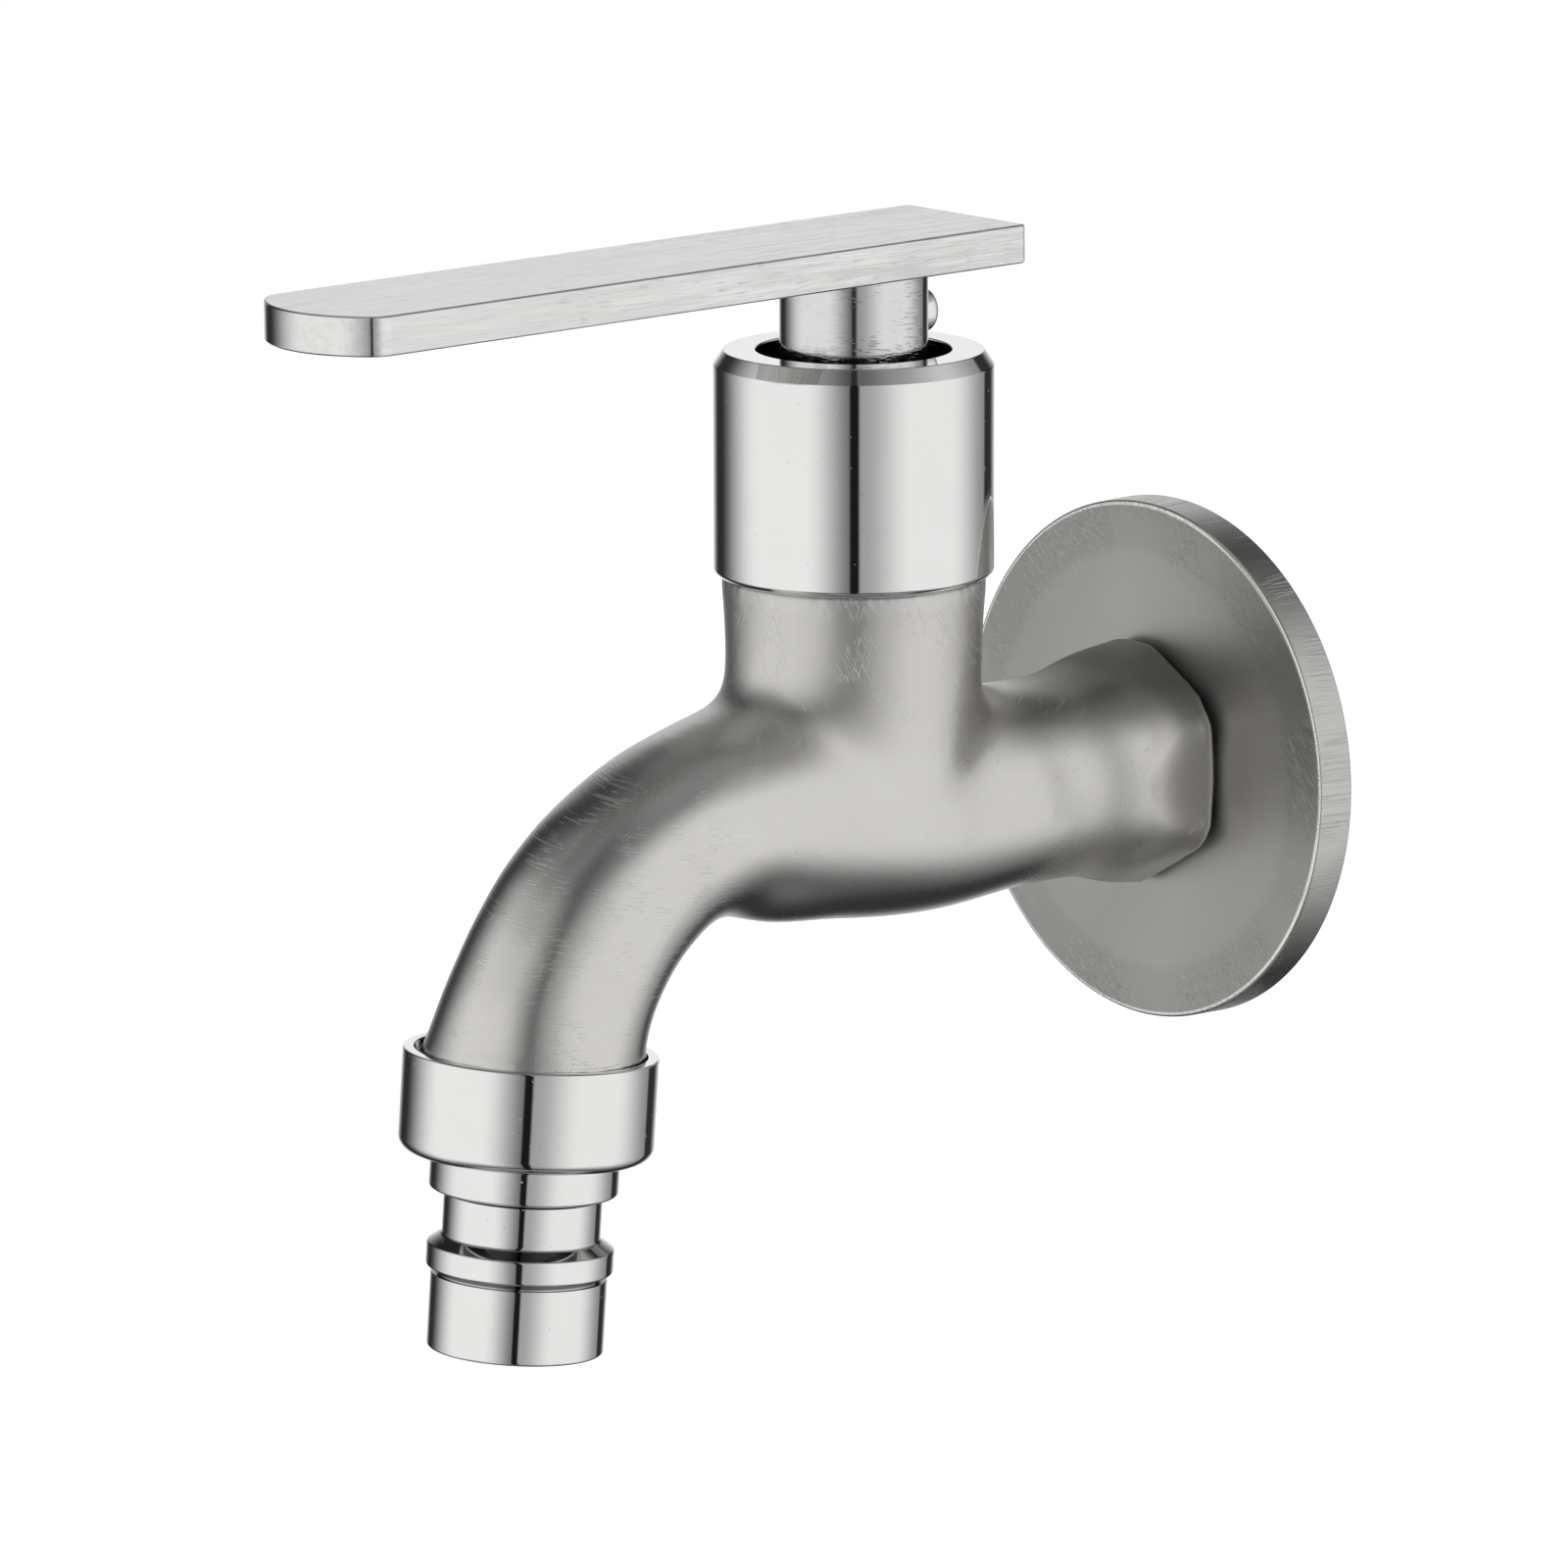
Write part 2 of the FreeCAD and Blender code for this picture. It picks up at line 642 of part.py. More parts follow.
def lever_bar():
    """Flat lever: full round tip in front, square tail behind."""
    half = lever_width / 2
    tail = -valve_reach + lever_back
    tip = -valve_reach - lever_front
    low = lever_bottom
    round_start = tip + half
    a, b = V(half, round_start, low), V(half, tail, low)
    c, d = V(-half, tail, low), V(-half, round_start, low)
    sides = [Part.LineSegment(a, b).toShape(), Part.LineSegment(b, c).toShape(),
             Part.LineSegment(c, d).toShape(), Part.Arc(d, V(0, tip, low), a).toShape()]
    bar = Part.Face(Part.Wire(sides)).extrude(UP * lever_thickness)
    bar = rounded(bar, lever_corner_round,
                  lambda edge: edge.BoundBox.ZLength > overlap and edge.BoundBox.YMin > tail - overlap)
    bar = chamfered(bar, lever_edge_chamfer,
                    lambda edge: lies_level(edge, lever_bottom) or lies_level(edge, lever_top))
    bar.rotate(V(0, -valve_reach, lever_bottom), V(1, 0, 0), lever_dip)
    return bar


# Union nut and nozzle

def union_nut():
    """Turned nut: open counterbore round the spout, thread, lip under the nozzle's flange."""
    counter_r, bore_r = nut_counterbore_d / 2, thread_r + thread_gap
    lip_r = nozzle_collar_d / 2 + slip_gap
    foot = soft_corner(nut_d / 2, nut_height, nut_foot_round, -1)
    return on_outlet([(counter_r, 0), (nut_d / 2, 0)] + foot +
                     [(lip_r, nut_height), (lip_r, nut_height - nut_lip), (bore_r, nut_height - nut_lip),
                      (bore_r, nut_counterbore_depth), (counter_r, nut_counterbore_depth)])


def nozzle():
    """Hose nozzle: flange held by the nut, collar, neck, catch ring and plain barrel."""
    start, end = nozzle_flange_start, nozzle_flange_end
    bore_r, flange_r = nozzle_bore_d / 2, nozzle_flange_d / 2
    collar_r, neck_r, ring_r = nozzle_collar_d / 2, nozzle_neck_d / 2, nozzle_ring_d / 2
    groove_r, barrel_r = nozzle_groove_d / 2, nozzle_barrel_d / 2
    groove_end = nozzle_ring_end + nozzle_groove_width
    edge = nozzle_edge
    return on_outlet([(bore_r, start), (flange_r, start), (flange_r, end), (collar_r, end),
                      (collar_r, nozzle_collar_end - edge), (collar_r - edge, nozzle_collar_end),
                      (neck_r, nozzle_collar_end), (neck_r, nozzle_neck_end), (ring_r, nozzle_ring_start),
                      (ring_r, nozzle_ring_end - edge), (ring_r - edge, nozzle_ring_end),
                      (groove_r, nozzle_ring_end), (groove_r, groove_end), (barrel_r, groove_end),
                      (barrel_r, nozzle_length - edge), (barrel_r - edge, nozzle_length),
                      (bore_r, nozzle_length)])


def nozzle_gasket():
    inner, outer = nozzle_bore_d / 2 + gasket_inset, nozzle_flange_d / 2 - gasket_inset
    return on_outlet(ring(inner, outer, nozzle_flange_start - nozzle_gasket_height, nozzle_flange_start))


PIECES = [tap_body, wall_flange, bonnet, bonnet_gasket, seat_seal, seal_support_ring, fixed_disc,
          moving_disc, slide_washer, spindle, spindle_orings, top_washer, spindle_circlip, bonnet_cover,
          lever_post, lever_bar, handle_screw, union_nut, nozzle, nozzle_gasket]

os.makedirs("parts", exist_ok=True)
for piece in PIECES:
    shape = piece()
    shape.exportStep("parts/" + piece.__name__ + ".step")
    print(piece.__name__, "solids", len(shape.Solids), "valid", shape.isValid())
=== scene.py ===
"""Washing machine tap: satin cast body, polished cover, nut and nozzle, brushed lever.

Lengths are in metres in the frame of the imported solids, and in millimetres where a name or a
table says so. The wall face is y = 0, +Y goes into the wall and +Z is up.
"""

import math

import bmesh
import bpy
from mathutils import Matrix, Vector
from mathutils.geometry import interpolate_bezier
from mathutils.kdtree import KDTree


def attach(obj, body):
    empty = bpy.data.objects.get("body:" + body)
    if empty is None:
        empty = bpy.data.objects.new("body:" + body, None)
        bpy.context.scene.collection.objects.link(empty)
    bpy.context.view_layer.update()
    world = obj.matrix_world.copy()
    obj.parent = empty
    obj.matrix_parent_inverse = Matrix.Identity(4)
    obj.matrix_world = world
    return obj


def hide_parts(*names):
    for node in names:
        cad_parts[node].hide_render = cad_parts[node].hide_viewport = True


bl_info = {
    "name": "Washing machine tap",
    "version": (1, 0, 0),
    "blender": (4, 5, 0),
    "location": "View3D > Sidebar > Tap",
    "description": "Builds the visible pieces of a wall-mounted washing machine tap",
    "category": "Add Mesh",
}

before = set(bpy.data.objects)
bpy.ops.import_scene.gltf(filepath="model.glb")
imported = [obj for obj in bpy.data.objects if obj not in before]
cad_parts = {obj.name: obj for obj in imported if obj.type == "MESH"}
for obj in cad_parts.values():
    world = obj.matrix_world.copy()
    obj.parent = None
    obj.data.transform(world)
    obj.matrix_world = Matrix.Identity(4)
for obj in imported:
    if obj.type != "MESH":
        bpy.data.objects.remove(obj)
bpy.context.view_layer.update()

MM = 0.001
TINY = 1e-7
TURN = 2 * math.pi
SHARP_EDGE = math.radians(34)

# The tap's axes and the places where its pieces meet
VALVE_REACH = 0.0456
OUTLET_LEAN = math.radians(4.5)
UP = Vector((0, 0, 1))
INTO_WALL = Vector((0, 1, 0))
ACROSS = Vector((1, 0, 0))
DOWN_OUTLET = Vector((0, -math.sin(OUTLET_LEAN), -math.cos(OUTLET_LEAN)))
WALL_CENTRE = Vector((0, 0, 0))
VALVE_FOOT = Vector((0, -VALVE_REACH, 0))
NUT_TOP = Vector((0, -0.0896, -0.0191))

# Places where the solid is cut for the hexagon's flare, by y, and inside the nut, below its top
FLARE_CUT = -0.0195
THREAD_CUT = 0.0016

# Ends that the softening leaves alone: cover's seat by z, hexagon's boss by y, and what lies
# lower than this above the nut's top
COVER_SEAT = 0.0235
BOSS_FACE = -0.0062
NUT_GAP = 0.0004

# Distances of the hexagon's six flats from its axis
HEXAGON_FLATS_MM = (12.25, 12.25, 12.25, 12.25, 12.75, 12.75)

# Growth of the belly's and barrel's half width, by y. In front of NECK_FRONT it fades out
# between two heights under the neck
SIDE_GROWTH = [
    (-0.062, 1.0), (-0.055, 0.97), (-0.0456, 0.945), (-0.0375, 0.947), (-0.032, 0.980),
    (-0.029, 1.015), (-0.025, 1.055), (-0.021, 1.065), (-0.018, 1.060), (-0.0155, 1.040),
    (-0.0137, 1.020), (-0.012, 1.0)]
NECK_FRONT = -0.032
NECK_FADE = (-0.016, -0.004)

# Spout's middle line: start above the barrel's axis, rise in degrees, leads at both ends and
# set-back of its end, as the solid has it and as the casting has it
LINE_STEPS = 240
SOLID_LINE = (3.3, 11.0, 35.7, 1.5, 0.0)
CAST_LINE = (5.2, 3.3, 36.2, 3.0, 0.5)
SPOUT_START = -0.052
BEND_SHARES = (0.17, 0.36)
ROOT_GAIN = 0.0009
ROOT_DEPTH = 0.0105
ROOT_RISE = (0.02, 0.24)
ROOT_FALL = (-0.50, -0.28)

# Growth of the spout's width, of its outer side and of its inner side, by the share of its line
SPOUT_GROWTH = [
    (0.0, 0.95, 1.0, 0.98), (0.3, 0.944, 1.0, 0.99), (0.4, 0.953, 0.965, 1.036),
    (0.5, 0.953, 0.975, 1.01), (0.6, 0.955, 1.09, 1.02), (0.7, 0.976, 1.177, 1.056),
    (0.8, 0.994, 1.205, 1.115), (0.9, 1.035, 1.175, 1.11), (1.0, 1.055, 1.08, 1.08)]

# Lever: half width, ends, radius of its round tip and of the tip's corners, broken edges
LEVER_UNDERSIDE = 57.85 * MM
LEVER_THICKNESS = 0.0041
LEVER_DIP = math.radians(0.5)
LEVER_HALF = 0.00935
LEVER_TAIL = -0.02975
LEVER_TIP = -0.11985
TIP_RADIUS = 0.01215
TIP_CORNER = 0.003
TAIL_ROUNDING = 0.0005
RIM_CHAMFER = 0.00017

# Limits between which the cast body's finish changes: the strokes' by z and by y, the hexagon's by
# y (rougher, and with its side flat's painted highlight), its side flat's painted highlight by x,
# its upper flats' painted shade by z and by y
NECK_RISE = (0.005, 0.017)
SPOUT_FADE = (-0.078, -0.060)
HEXAGON_START = (-0.0142, -0.0124)
SIDE_FLAT = (0.0112, 0.0120)
HEXAGON_TOP = (0.0050, 0.0105)
HEXAGON_TOP_START = (-0.0225, -0.0125)
FRONT_RIGHT = math.radians(49.6)

# Places of the nozzle painted dark as painted shade, in its grooves and on its ring's cone, by the
# distance below the nut's top
COLLAR_GROOVE = (0.0145, 0.0146, 0.0150, 0.0151)
RING_GROOVE = (0.0228, 0.0229, 0.0234, 0.0235)
RING_CONE = (0.0193, 0.0194, 0.0203, 0.0204)

# Floor, lamp and camera
FLOOR_HEIGHT = -0.17
LAMP_PLACE = Vector((0.35, -0.55, 1.5))
LAMP_AIM = Vector((0, -0.05, 0))
CAMERA_TURN = math.radians(49.579)
CAMERA_LIFT = math.radians(11.897)
CAMERA_ROLL = math.radians(-0.101)
CAMERA_PLACE = Vector((0.76572, -0.70744, 0.21616))
CAMERA_LENS = 225.0
CAMERA_SENSOR = 36.0


# Sizes and finishes that a user would change

class TapSizes(bpy.types.PropertyGroup):
    """Sizes of the details that only the visible pieces have."""

    thread_pitch: bpy.props.FloatProperty(
        name="Thread pitch", description="Pitch of the half-inch pipe threads",
        default=0.001814, unit="LENGTH")
    thread_crest: bpy.props.FloatProperty(
        name="Thread crest radius", description="Outer radius of the half-inch pipe threads",
        default=0.0104775, unit="LENGTH")
    thread_root: bpy.props.FloatProperty(
        name="Thread root radius", description="Inner radius of the half-inch pipe threads",
        default=0.0093155, unit="LENGTH")
    cast_grid: bpy.props.FloatProperty(
        name="Casting grid", description="Grid on which the cast body's skin is drawn",
        default=0.00052, unit="LENGTH")
    edge_softness: bpy.props.IntProperty(
        name="Edge softness", description="Rounds of smoothing on the whole of the cast skin",
        default=6, min=0, max=40)
    cast_softness: bpy.props.IntProperty(
        name="Casting softness", description="More rounds of smoothing away from the turned ends",
        default=44, min=0, max=120)
    turning_steps: bpy.props.IntProperty(
        name="Turning steps", description="Faces round each turned piece",
        default=168, min=24, max=512)


class TapFinishes(bpy.types.PropertyGroup):
    """Colours and polish of the metals."""

    cast_color: bpy.props.FloatVectorProperty(
        name="Cast steel", description="Colour of the satin cast body",
        subtype="COLOR", size=3, default=(0.70, 0.69, 0.675))
    flange_color: bpy.props.FloatVectorProperty(
        name="Flange steel", description="Colour of the pressed wall flange",
        subtype="COLOR", size=3, default=(0.44, 0.435, 0.422))
    polished_color: bpy.props.FloatVectorProperty(
        name="Polished steel", description="Colour of the cover, the nut and the nozzle",
        subtype="COLOR", size=3, default=(0.86, 0.86, 0.85))
    lever_color: bpy.props.FloatVectorProperty(
        name="Lever steel", description="Colour of the brushed lever",
        subtype="COLOR", size=3, default=(0.84, 0.84, 0.83))
    post_color: bpy.props.FloatVectorProperty(
        name="Post steel", description="Colour of the brushed post",
        subtype="COLOR", size=3, default=(0.78, 0.78, 0.78))
    cast_roughness: bpy.props.FloatProperty(
        name="Cast roughness", description="Roughness of the satin cast body",
        default=0.26, min=0.0, max=1.0)
    polished_roughness: bpy.props.FloatProperty(
        name="Polished roughness", description="Roughness of the polished pieces",
        default=0.035, min=0.0, max=1.0)


# Node trees

class Socket:
    """Output of a node. Sums, products and powers of sockets add Math nodes."""

    def __init__(self, shader, output):
        self.shader = shader
        self.output = output

    def __add__(self, other):
        return self.shader.math("ADD", self, other)

    def __radd__(self, other):
        return self.shader.math("ADD", other, self)

    def __sub__(self, other):
        return self.shader.math("SUBTRACT", self, other)

    def __rsub__(self, other):
        return self.shader.math("SUBTRACT", other, self)

    def __mul__(self, other):
        return self.shader.math("MULTIPLY", self, other)

    def __rmul__(self, other):
        return self.shader.math("MULTIPLY", other, self)

    def __truediv__(self, other):
        return self.shader.math("DIVIDE", self, other)

    def __pow__(self, other):
        return self.shader.math("POWER", self, other)


class Shader:
    """Node tree of a material or of the world, filled from Python expressions."""

    def __init__(self, tree):
        self.tree = tree
        tree.nodes.clear()

    def node(self, kind, settings=None, inputs=None, output=0):
        """One node: its settings, then its sockets' values or links, and one of its outputs."""
        made = self.tree.nodes.new(kind)
        for name, value in (settings or {}).items():
            setattr(made, name, value)
        for key, value in (inputs or {}).items():
            if isinstance(value, Socket):
                self.tree.links.new(value.output, made.inputs[key])
            else:
                made.inputs[key].default_value = value
        return Socket(self, made.outputs[output]) if len(made.outputs) else None

    def math(self, operation, *values):
        return self.node("ShaderNodeMath", {"operation": operation}, dict(enumerate(values)))

    def close(self, kind, closure):
        """The output node, which shows a finished shader."""
        return self.node(kind, inputs={"Surface": closure})

    def place(self):
        return self.node("ShaderNodeTexCoord", output="Object")

    def split(self, vector):
        parts = self.node("ShaderNodeSeparateXYZ", inputs={0: vector}).output.node
        return [Socket(self, parts.outputs[index]) for index in range(3)]

    def join(self, x, y, z):
        return self.node("ShaderNodeCombineXYZ", inputs={0: x, 1: y, 2: z})

    def stretched(self, vector, cell, turn=(0, 0, 0), seed=0.0):
        """Coordinates in which one step is as long as `cell` (metres) along each turned axis."""
        return self.node("ShaderNodeMapping", {"vector_type": "TEXTURE"},
                         {"Vector": vector, "Location": (seed, seed, seed),
                          "Rotation": turn, "Scale": cell})

    def noise(self, vector, scale=1.0, detail=2.0):
        return self.node("ShaderNodeTexNoise", {"noise_dimensions": "3D"},
                         {"Vector": vector, "Scale": scale, "Detail": detail})

    def ease(self, value, low, high, start=0.0, end=1.0):
        """Smooth step from start, below `low`, to end, above `high`."""
        return self.node("ShaderNodeMapRange", {"interpolation_type": "SMOOTHSTEP"},
                         {"Value": value, "From Min": low, "From Max": high,
                          "To Min": start, "To Max": end})

    def band(self, value, rise, full, fall, end):
        """Mask that rises to 1 from `rise` to `full`, and falls to 0 from `fall` to `end`."""
        return self.ease(value, rise, full) * self.ease(value, fall, end, 1.0, 0.0)

    def blend(self, factor, first, second):
        """Colour between two colours."""
        return self.node("ShaderNodeMix", {"data_type": "RGBA"},
                         {0: factor, 6: first, 7: second}, 2)

    def tinted(self, first, second):
        """Product of two colours."""
        return self.node("ShaderNodeMix", {"data_type": "RGBA", "blend_type": "MULTIPLY"},
                         {0: 1.0, 6: first, 7: second}, 2)

    def bump(self, height, depth):
        """Normal for a height between 0 and 1 that stands for `depth` metres."""
        return self.node("ShaderNodeBump",
                         inputs={"Strength": 1.0, "Distance": depth, "Height": height})


def rgba(color, factor=1.0):
    return tuple(min(1.0, channel * factor) for channel in color[:3]) + (1.0,)


def new_material(name):
    material = bpy.data.materials.new(name)
    material.use_nodes = True
    return material, Shader(material.node_tree)


def surface(shader, metallic, color, roughness, normal):
    """Closes a material with one Principled shader."""
    principled = shader.node("ShaderNodeBsdfPrincipled", inputs={
        "Metallic": metallic, "Base Color": color, "Roughness": roughness, "Normal": normal})
    shader.close("ShaderNodeOutputMaterial", principled)


def stroke_frame(facing, lean):
    """Turn of a frame that faces `facing` about the upright, its first axis leaning from level."""
    return (Matrix.Rotation(facing, 4, "Z") @ Matrix.Rotation(math.pi / 2, 4, "X")
            @ Matrix.Rotation(lean, 4, "Z")).to_euler()


def strokes(shader, place, facing, lean, length, width, amount, seed):
    """Mask of fine polishing strokes on faces that look towards `facing`, leaning in degrees."""
    turn = stroke_frame(facing, math.radians(lean))
    cells = shader.stretched(place, (length, width, 0.02), turn, seed)
    return shader.ease(shader.noise(cells, detail=1.0), amount, amount + 0.07)


def satin_steel(name, color, roughness, marks=1.0):
    """Cast steel after satin polishing: fine strokes up the neck and round the spout, a painted
    highlight on the hexagon's side flat and painted shade on its upper flats.
    """
    material, shader = new_material(name)
    place = shader.place()
    x, y, z = shader.split(place)
    clouds = shader.noise(place, scale=110.0, detail=2.0)
    grain = shader.noise(place, scale=3600.0, detail=2.0)
    neck = shader.ease(z, *NECK_RISE)
    spout = shader.ease(y, *SPOUT_FADE, 1.0, 0.0)
    patches = shader.ease(shader.noise(place, scale=210.0, detail=1.0), 0.42, 0.60)
    upright = strokes(shader, place, FRONT_RIGHT, -62, 0.0030, 0.00013, 0.60, 0.011)
    steep = strokes(shader, place, FRONT_RIGHT, 72, 0.0024, 0.00012, 0.64, 0.023)
    level = strokes(shader, place, FRONT_RIGHT, -7, 0.0026, 0.00012, 0.60, 0.037)
    loose = strokes(shader, place, FRONT_RIGHT, 38, 0.0016, 0.00014, 0.69, 0.051)
    marked = ((upright + steep * 0.7) * neck + level * spout + loose * 0.8) * patches * marks
    tone = clouds * 0.40 + grain * 0.35 + marked * 1.1
    end = shader.ease(y, *HEXAGON_START)
    # Painted highlight: the hexagon's side flat is painted lighter.
    flat = shader.ease(x, *SIDE_FLAT) * end
    # Painted shade: the hexagon's upper flats and the barrel's top next to them are painted darker,
    # the rest of the body a little lighter.
    top = shader.ease(z, *HEXAGON_TOP) * shader.ease(y, *HEXAGON_TOP_START)
    painted_top_shade = shader.blend(top, rgba(color, 1.11), rgba(color, 0.60))
    painted_light_tint = shader.blend(flat, painted_top_shade, rgba(color, 1.42))
    surface(shader, 1.0,
            color=shader.tinted(painted_light_tint, shader.blend(tone, (0.82, 0.82, 0.82, 1), (1, 1, 1, 1))),
            roughness=(clouds * 0.03 + grain * 0.04 + marked * 0.08 + neck * 0.11 + end * 0.08
                       + (roughness - 0.03)),
            normal=shader.bump(grain * 0.30 + marked * 1.4 + clouds * 0.2, 0.0000085))
    return material


def flange_steel(name, color, roughness):
    """Pressed sheet: painted sheen in soft sectors on the face, painted shade beyond a soft step,
    strokes near its edge, a polished front edge painted brighter as a painted highlight, and a rim
    side painted lighter.
    """
    material, shader = new_material(name)
    place = shader.place()
    x, y, z = shader.split(place)
    radius = (x * x + z * z) ** 0.5
    angle = shader.math("ARCTAN2", z, x)
    rim = shader.ease(radius, 0.0279, 0.0282)
    edge = shader.ease(radius, 0.0195, 0.0255)
    # Painted shade: the face beyond this soft step is painted darker.
    step = shader.ease(radius, 0.0222, 0.0236)
    # Painted sheen: soft sectors round the face, painted lighter and darker.
    painted_sheen_sectors = shader.noise(shader.join(x / radius * 0.9, z / radius * 0.9, radius * 35.0),
                           detail=1.0)
    across = shader.noise(shader.join(angle * 90.0, y * 260.0, radius * 10.0), detail=2.0)
    short = strokes(shader, place, 0.0, -48, 0.0024, 0.00014, 0.55, 0.017)
    other = strokes(shader, place, 0.0, -20, 0.0019, 0.00013, 0.60, 0.029)
    patches = shader.ease(shader.noise(place, scale=120.0, detail=1.0), 0.40, 0.60)
    marked = (short + other * 0.8) * edge * patches
    grain = shader.noise(place, scale=3400.0, detail=2.0)
    # Tone of the face: painted sheen in sectors, grain and strokes, less the painted shade beyond
    # the step.
    tone = painted_sheen_sectors * 0.85 + grain * 0.15 + marked * 0.55 - step * 0.14
    # Painted highlight: a thin line along the rim's front edge, painted twice as bright and also
    # made smoother.
    line = shader.band(radius, 0.02765, 0.02785, 0.02815, 0.02825)
    face = shader.blend(tone, rgba(color, 0.72), rgba(color, 1.30))
    # Painted light: the rim side is painted lighter than the face of the same sheet, with brushing
    # round it.
    side = shader.blend(across, rgba(color, 1.24), rgba(color, 1.50))
    surface(shader, 1.0,
            color=shader.blend(line, shader.blend(rim, face, side), rgba(color, 2.0)),
            roughness=(grain * 0.05 + marked * 0.06 + across * rim * 0.06 - line * 0.16 - rim * 0.08
                       + (roughness - 0.03)),
            normal=shader.bump(grain * 0.25 + marked * 1.4 + across * rim * 0.8, 0.000012))
    return material


def polished_steel(name, color, roughness):
    """Polished steel: hairlines, tiny specks, faint clouds, and painted shade in the nozzle's
    grooves and on its ring's cone.
    """
    material, shader = new_material(name)
    place = shader.place()
    clouds = shader.noise(place, scale=160.0, detail=2.0)
    hair = shader.noise(shader.stretched(place, (0.025, 0.025, 0.00012)), detail=1.0)
    specks = shader.ease(shader.noise(place, scale=2100.0, detail=0.0), 0.79, 0.85)
    _, y, z = shader.split(place)
    down = (y - NUT_TOP.y) * DOWN_OUTLET.y + (z - NUT_TOP.z) * DOWN_OUTLET.z
    # Painted shade: the collar's and the ring's grooves are painted near black, and the ring's cone
    # half as dark.
    painted_groove_shade = shader.band(down, *COLLAR_GROOVE) + shader.band(down, *RING_GROOVE)
    painted_shade = painted_groove_shade * 0.85 + shader.band(down, *RING_CONE) * 0.45
    unshaded_polish = shader.blend(clouds, rgba(color, 0.97), rgba(color, 1.02))
    surface(shader, 1.0,
            color=shader.blend(painted_shade, unshaded_polish, rgba(color, 0.02)),
            roughness=clouds * 0.02 + hair * 0.02 + specks * 0.30 + roughness,
            normal=shader.bump(hair * 0.06 + specks * 0.9 + clouds * 0.15, 0.0000028))
    return material


def lever_steel(name, color, roughness):
    """Flat steel brushed along the lever, streakier behind and finer towards the round tip, with a
    line of painted shade along the far edge of its top face.
    """
    material, shader = new_material(name)
    place = shader.place()
    x, y, z = shader.split(place)
    tail = shader.ease(y, -0.105, -0.045)
    rise = z - (y + VALVE_REACH) * math.sin(LEVER_DIP) - LEVER_UNDERSIDE
    top_face = shader.ease(rise, LEVER_THICKNESS - 0.00015, LEVER_THICKNESS - 0.00004)
    under_face = shader.ease(rise, 0.00004, 0.00015, 1.0, 0.0)
    # Painted shade: a dark line painted along the far edge of the top face, over its chamfer.
    painted_dark_far_edge = shader.ease(x, -0.0092, -0.00905, 1.0, 0.0) * top_face
    tip = shader.ease(y, -0.1146, -0.1140, 1.0, 0.0) * (1 - top_face) * (1 - under_face)
    fine = shader.noise(shader.stretched(place, (0.00017, 0.0062, 0.00017)), detail=2.0)
    broad = shader.noise(shader.stretched(place, (0.0008, 0.016, 0.0008)), detail=2.0)
    spots = shader.noise(shader.stretched(place, (0.00024, 0.0026, 0.00024)), detail=0.0)
    nicks = shader.ease(spots, 0.66, 0.78)
    tone = shader.ease(fine * 0.55 + broad * 0.45, 0.34, 0.66)
    depth = tail * 0.6 + 0.4
    relief = (fine * 0.8 + broad * 0.4 - nicks * 0.6) * depth * (1 - tip * 0.7)
    brushed = shader.blend(tone * depth + (1 - depth) * 0.60 - nicks * depth * 0.8,
                           rgba(color, 0.80), rgba(color, 1.08))
    surface(shader, 1.0,
            color=shader.blend(painted_dark_far_edge, brushed, rgba(color, 0.42)),
            roughness=fine * 0.08 + nicks * 0.05 - tip * 0.19 + (roughness - 0.02),
            normal=shader.bump(relief, 0.000013))
    return material


def post_steel(name, color, roughness):
    """Round bar brushed round its axis, with short dark scratches in patches."""
    material, shader = new_material(name)
    place = shader.place()
    x, y, z = shader.split(place)
    angle = shader.math("ARCTAN2", y + VALVE_REACH, x)
    slant = z + angle * 0.0004
    fine = shader.noise(shader.join(angle * 2.6, slant * 5200.0, 0.0), detail=2.0)
    cuts = shader.noise(shader.join(angle * 5.5, slant * 4300.0, 3.0), detail=1.0)
    areas = shader.noise(shader.join(angle * 2.2, z * 230.0, 7.0), detail=1.0)
    deep = (shader.ease(cuts, 0.55, 0.64) * shader.ease(areas, 0.40, 0.58)
            * shader.ease(angle, -1.25, -0.55, 0.25, 1.0))
    surface(shader, 1.0,
            color=shader.blend(fine * 0.4 + deep * 0.7, rgba(color, 1.03), rgba(color, 0.70)),
            roughness=fine * 0.05 + deep * 0.10 + roughness,
            normal=shader.bump(fine * 0.35 - deep * 1.0, 0.000012))
    return material


def plain_finish(name, color, roughness, metallic=0.0):
    """Finish of a hidden piece: a little mottling and grain."""
    material, shader = new_material(name)
    mottle = shader.noise(shader.place(), scale=900.0, detail=3.0)
    surface(shader, metallic,
            color=shader.blend(mottle, rgba(color, 0.88), rgba(color, 1.08)),
            roughness=roughness - 0.05 + mottle * 0.10,
            normal=shader.bump(mottle, 0.000006))
    return material


# Meshes

def axis_matrix(at, along):
    """Places the Z axis of a turned form on an axis of the tap."""
    return Matrix.Translation(at) @ along.to_track_quat("Z", "Y").to_matrix().to_4x4()


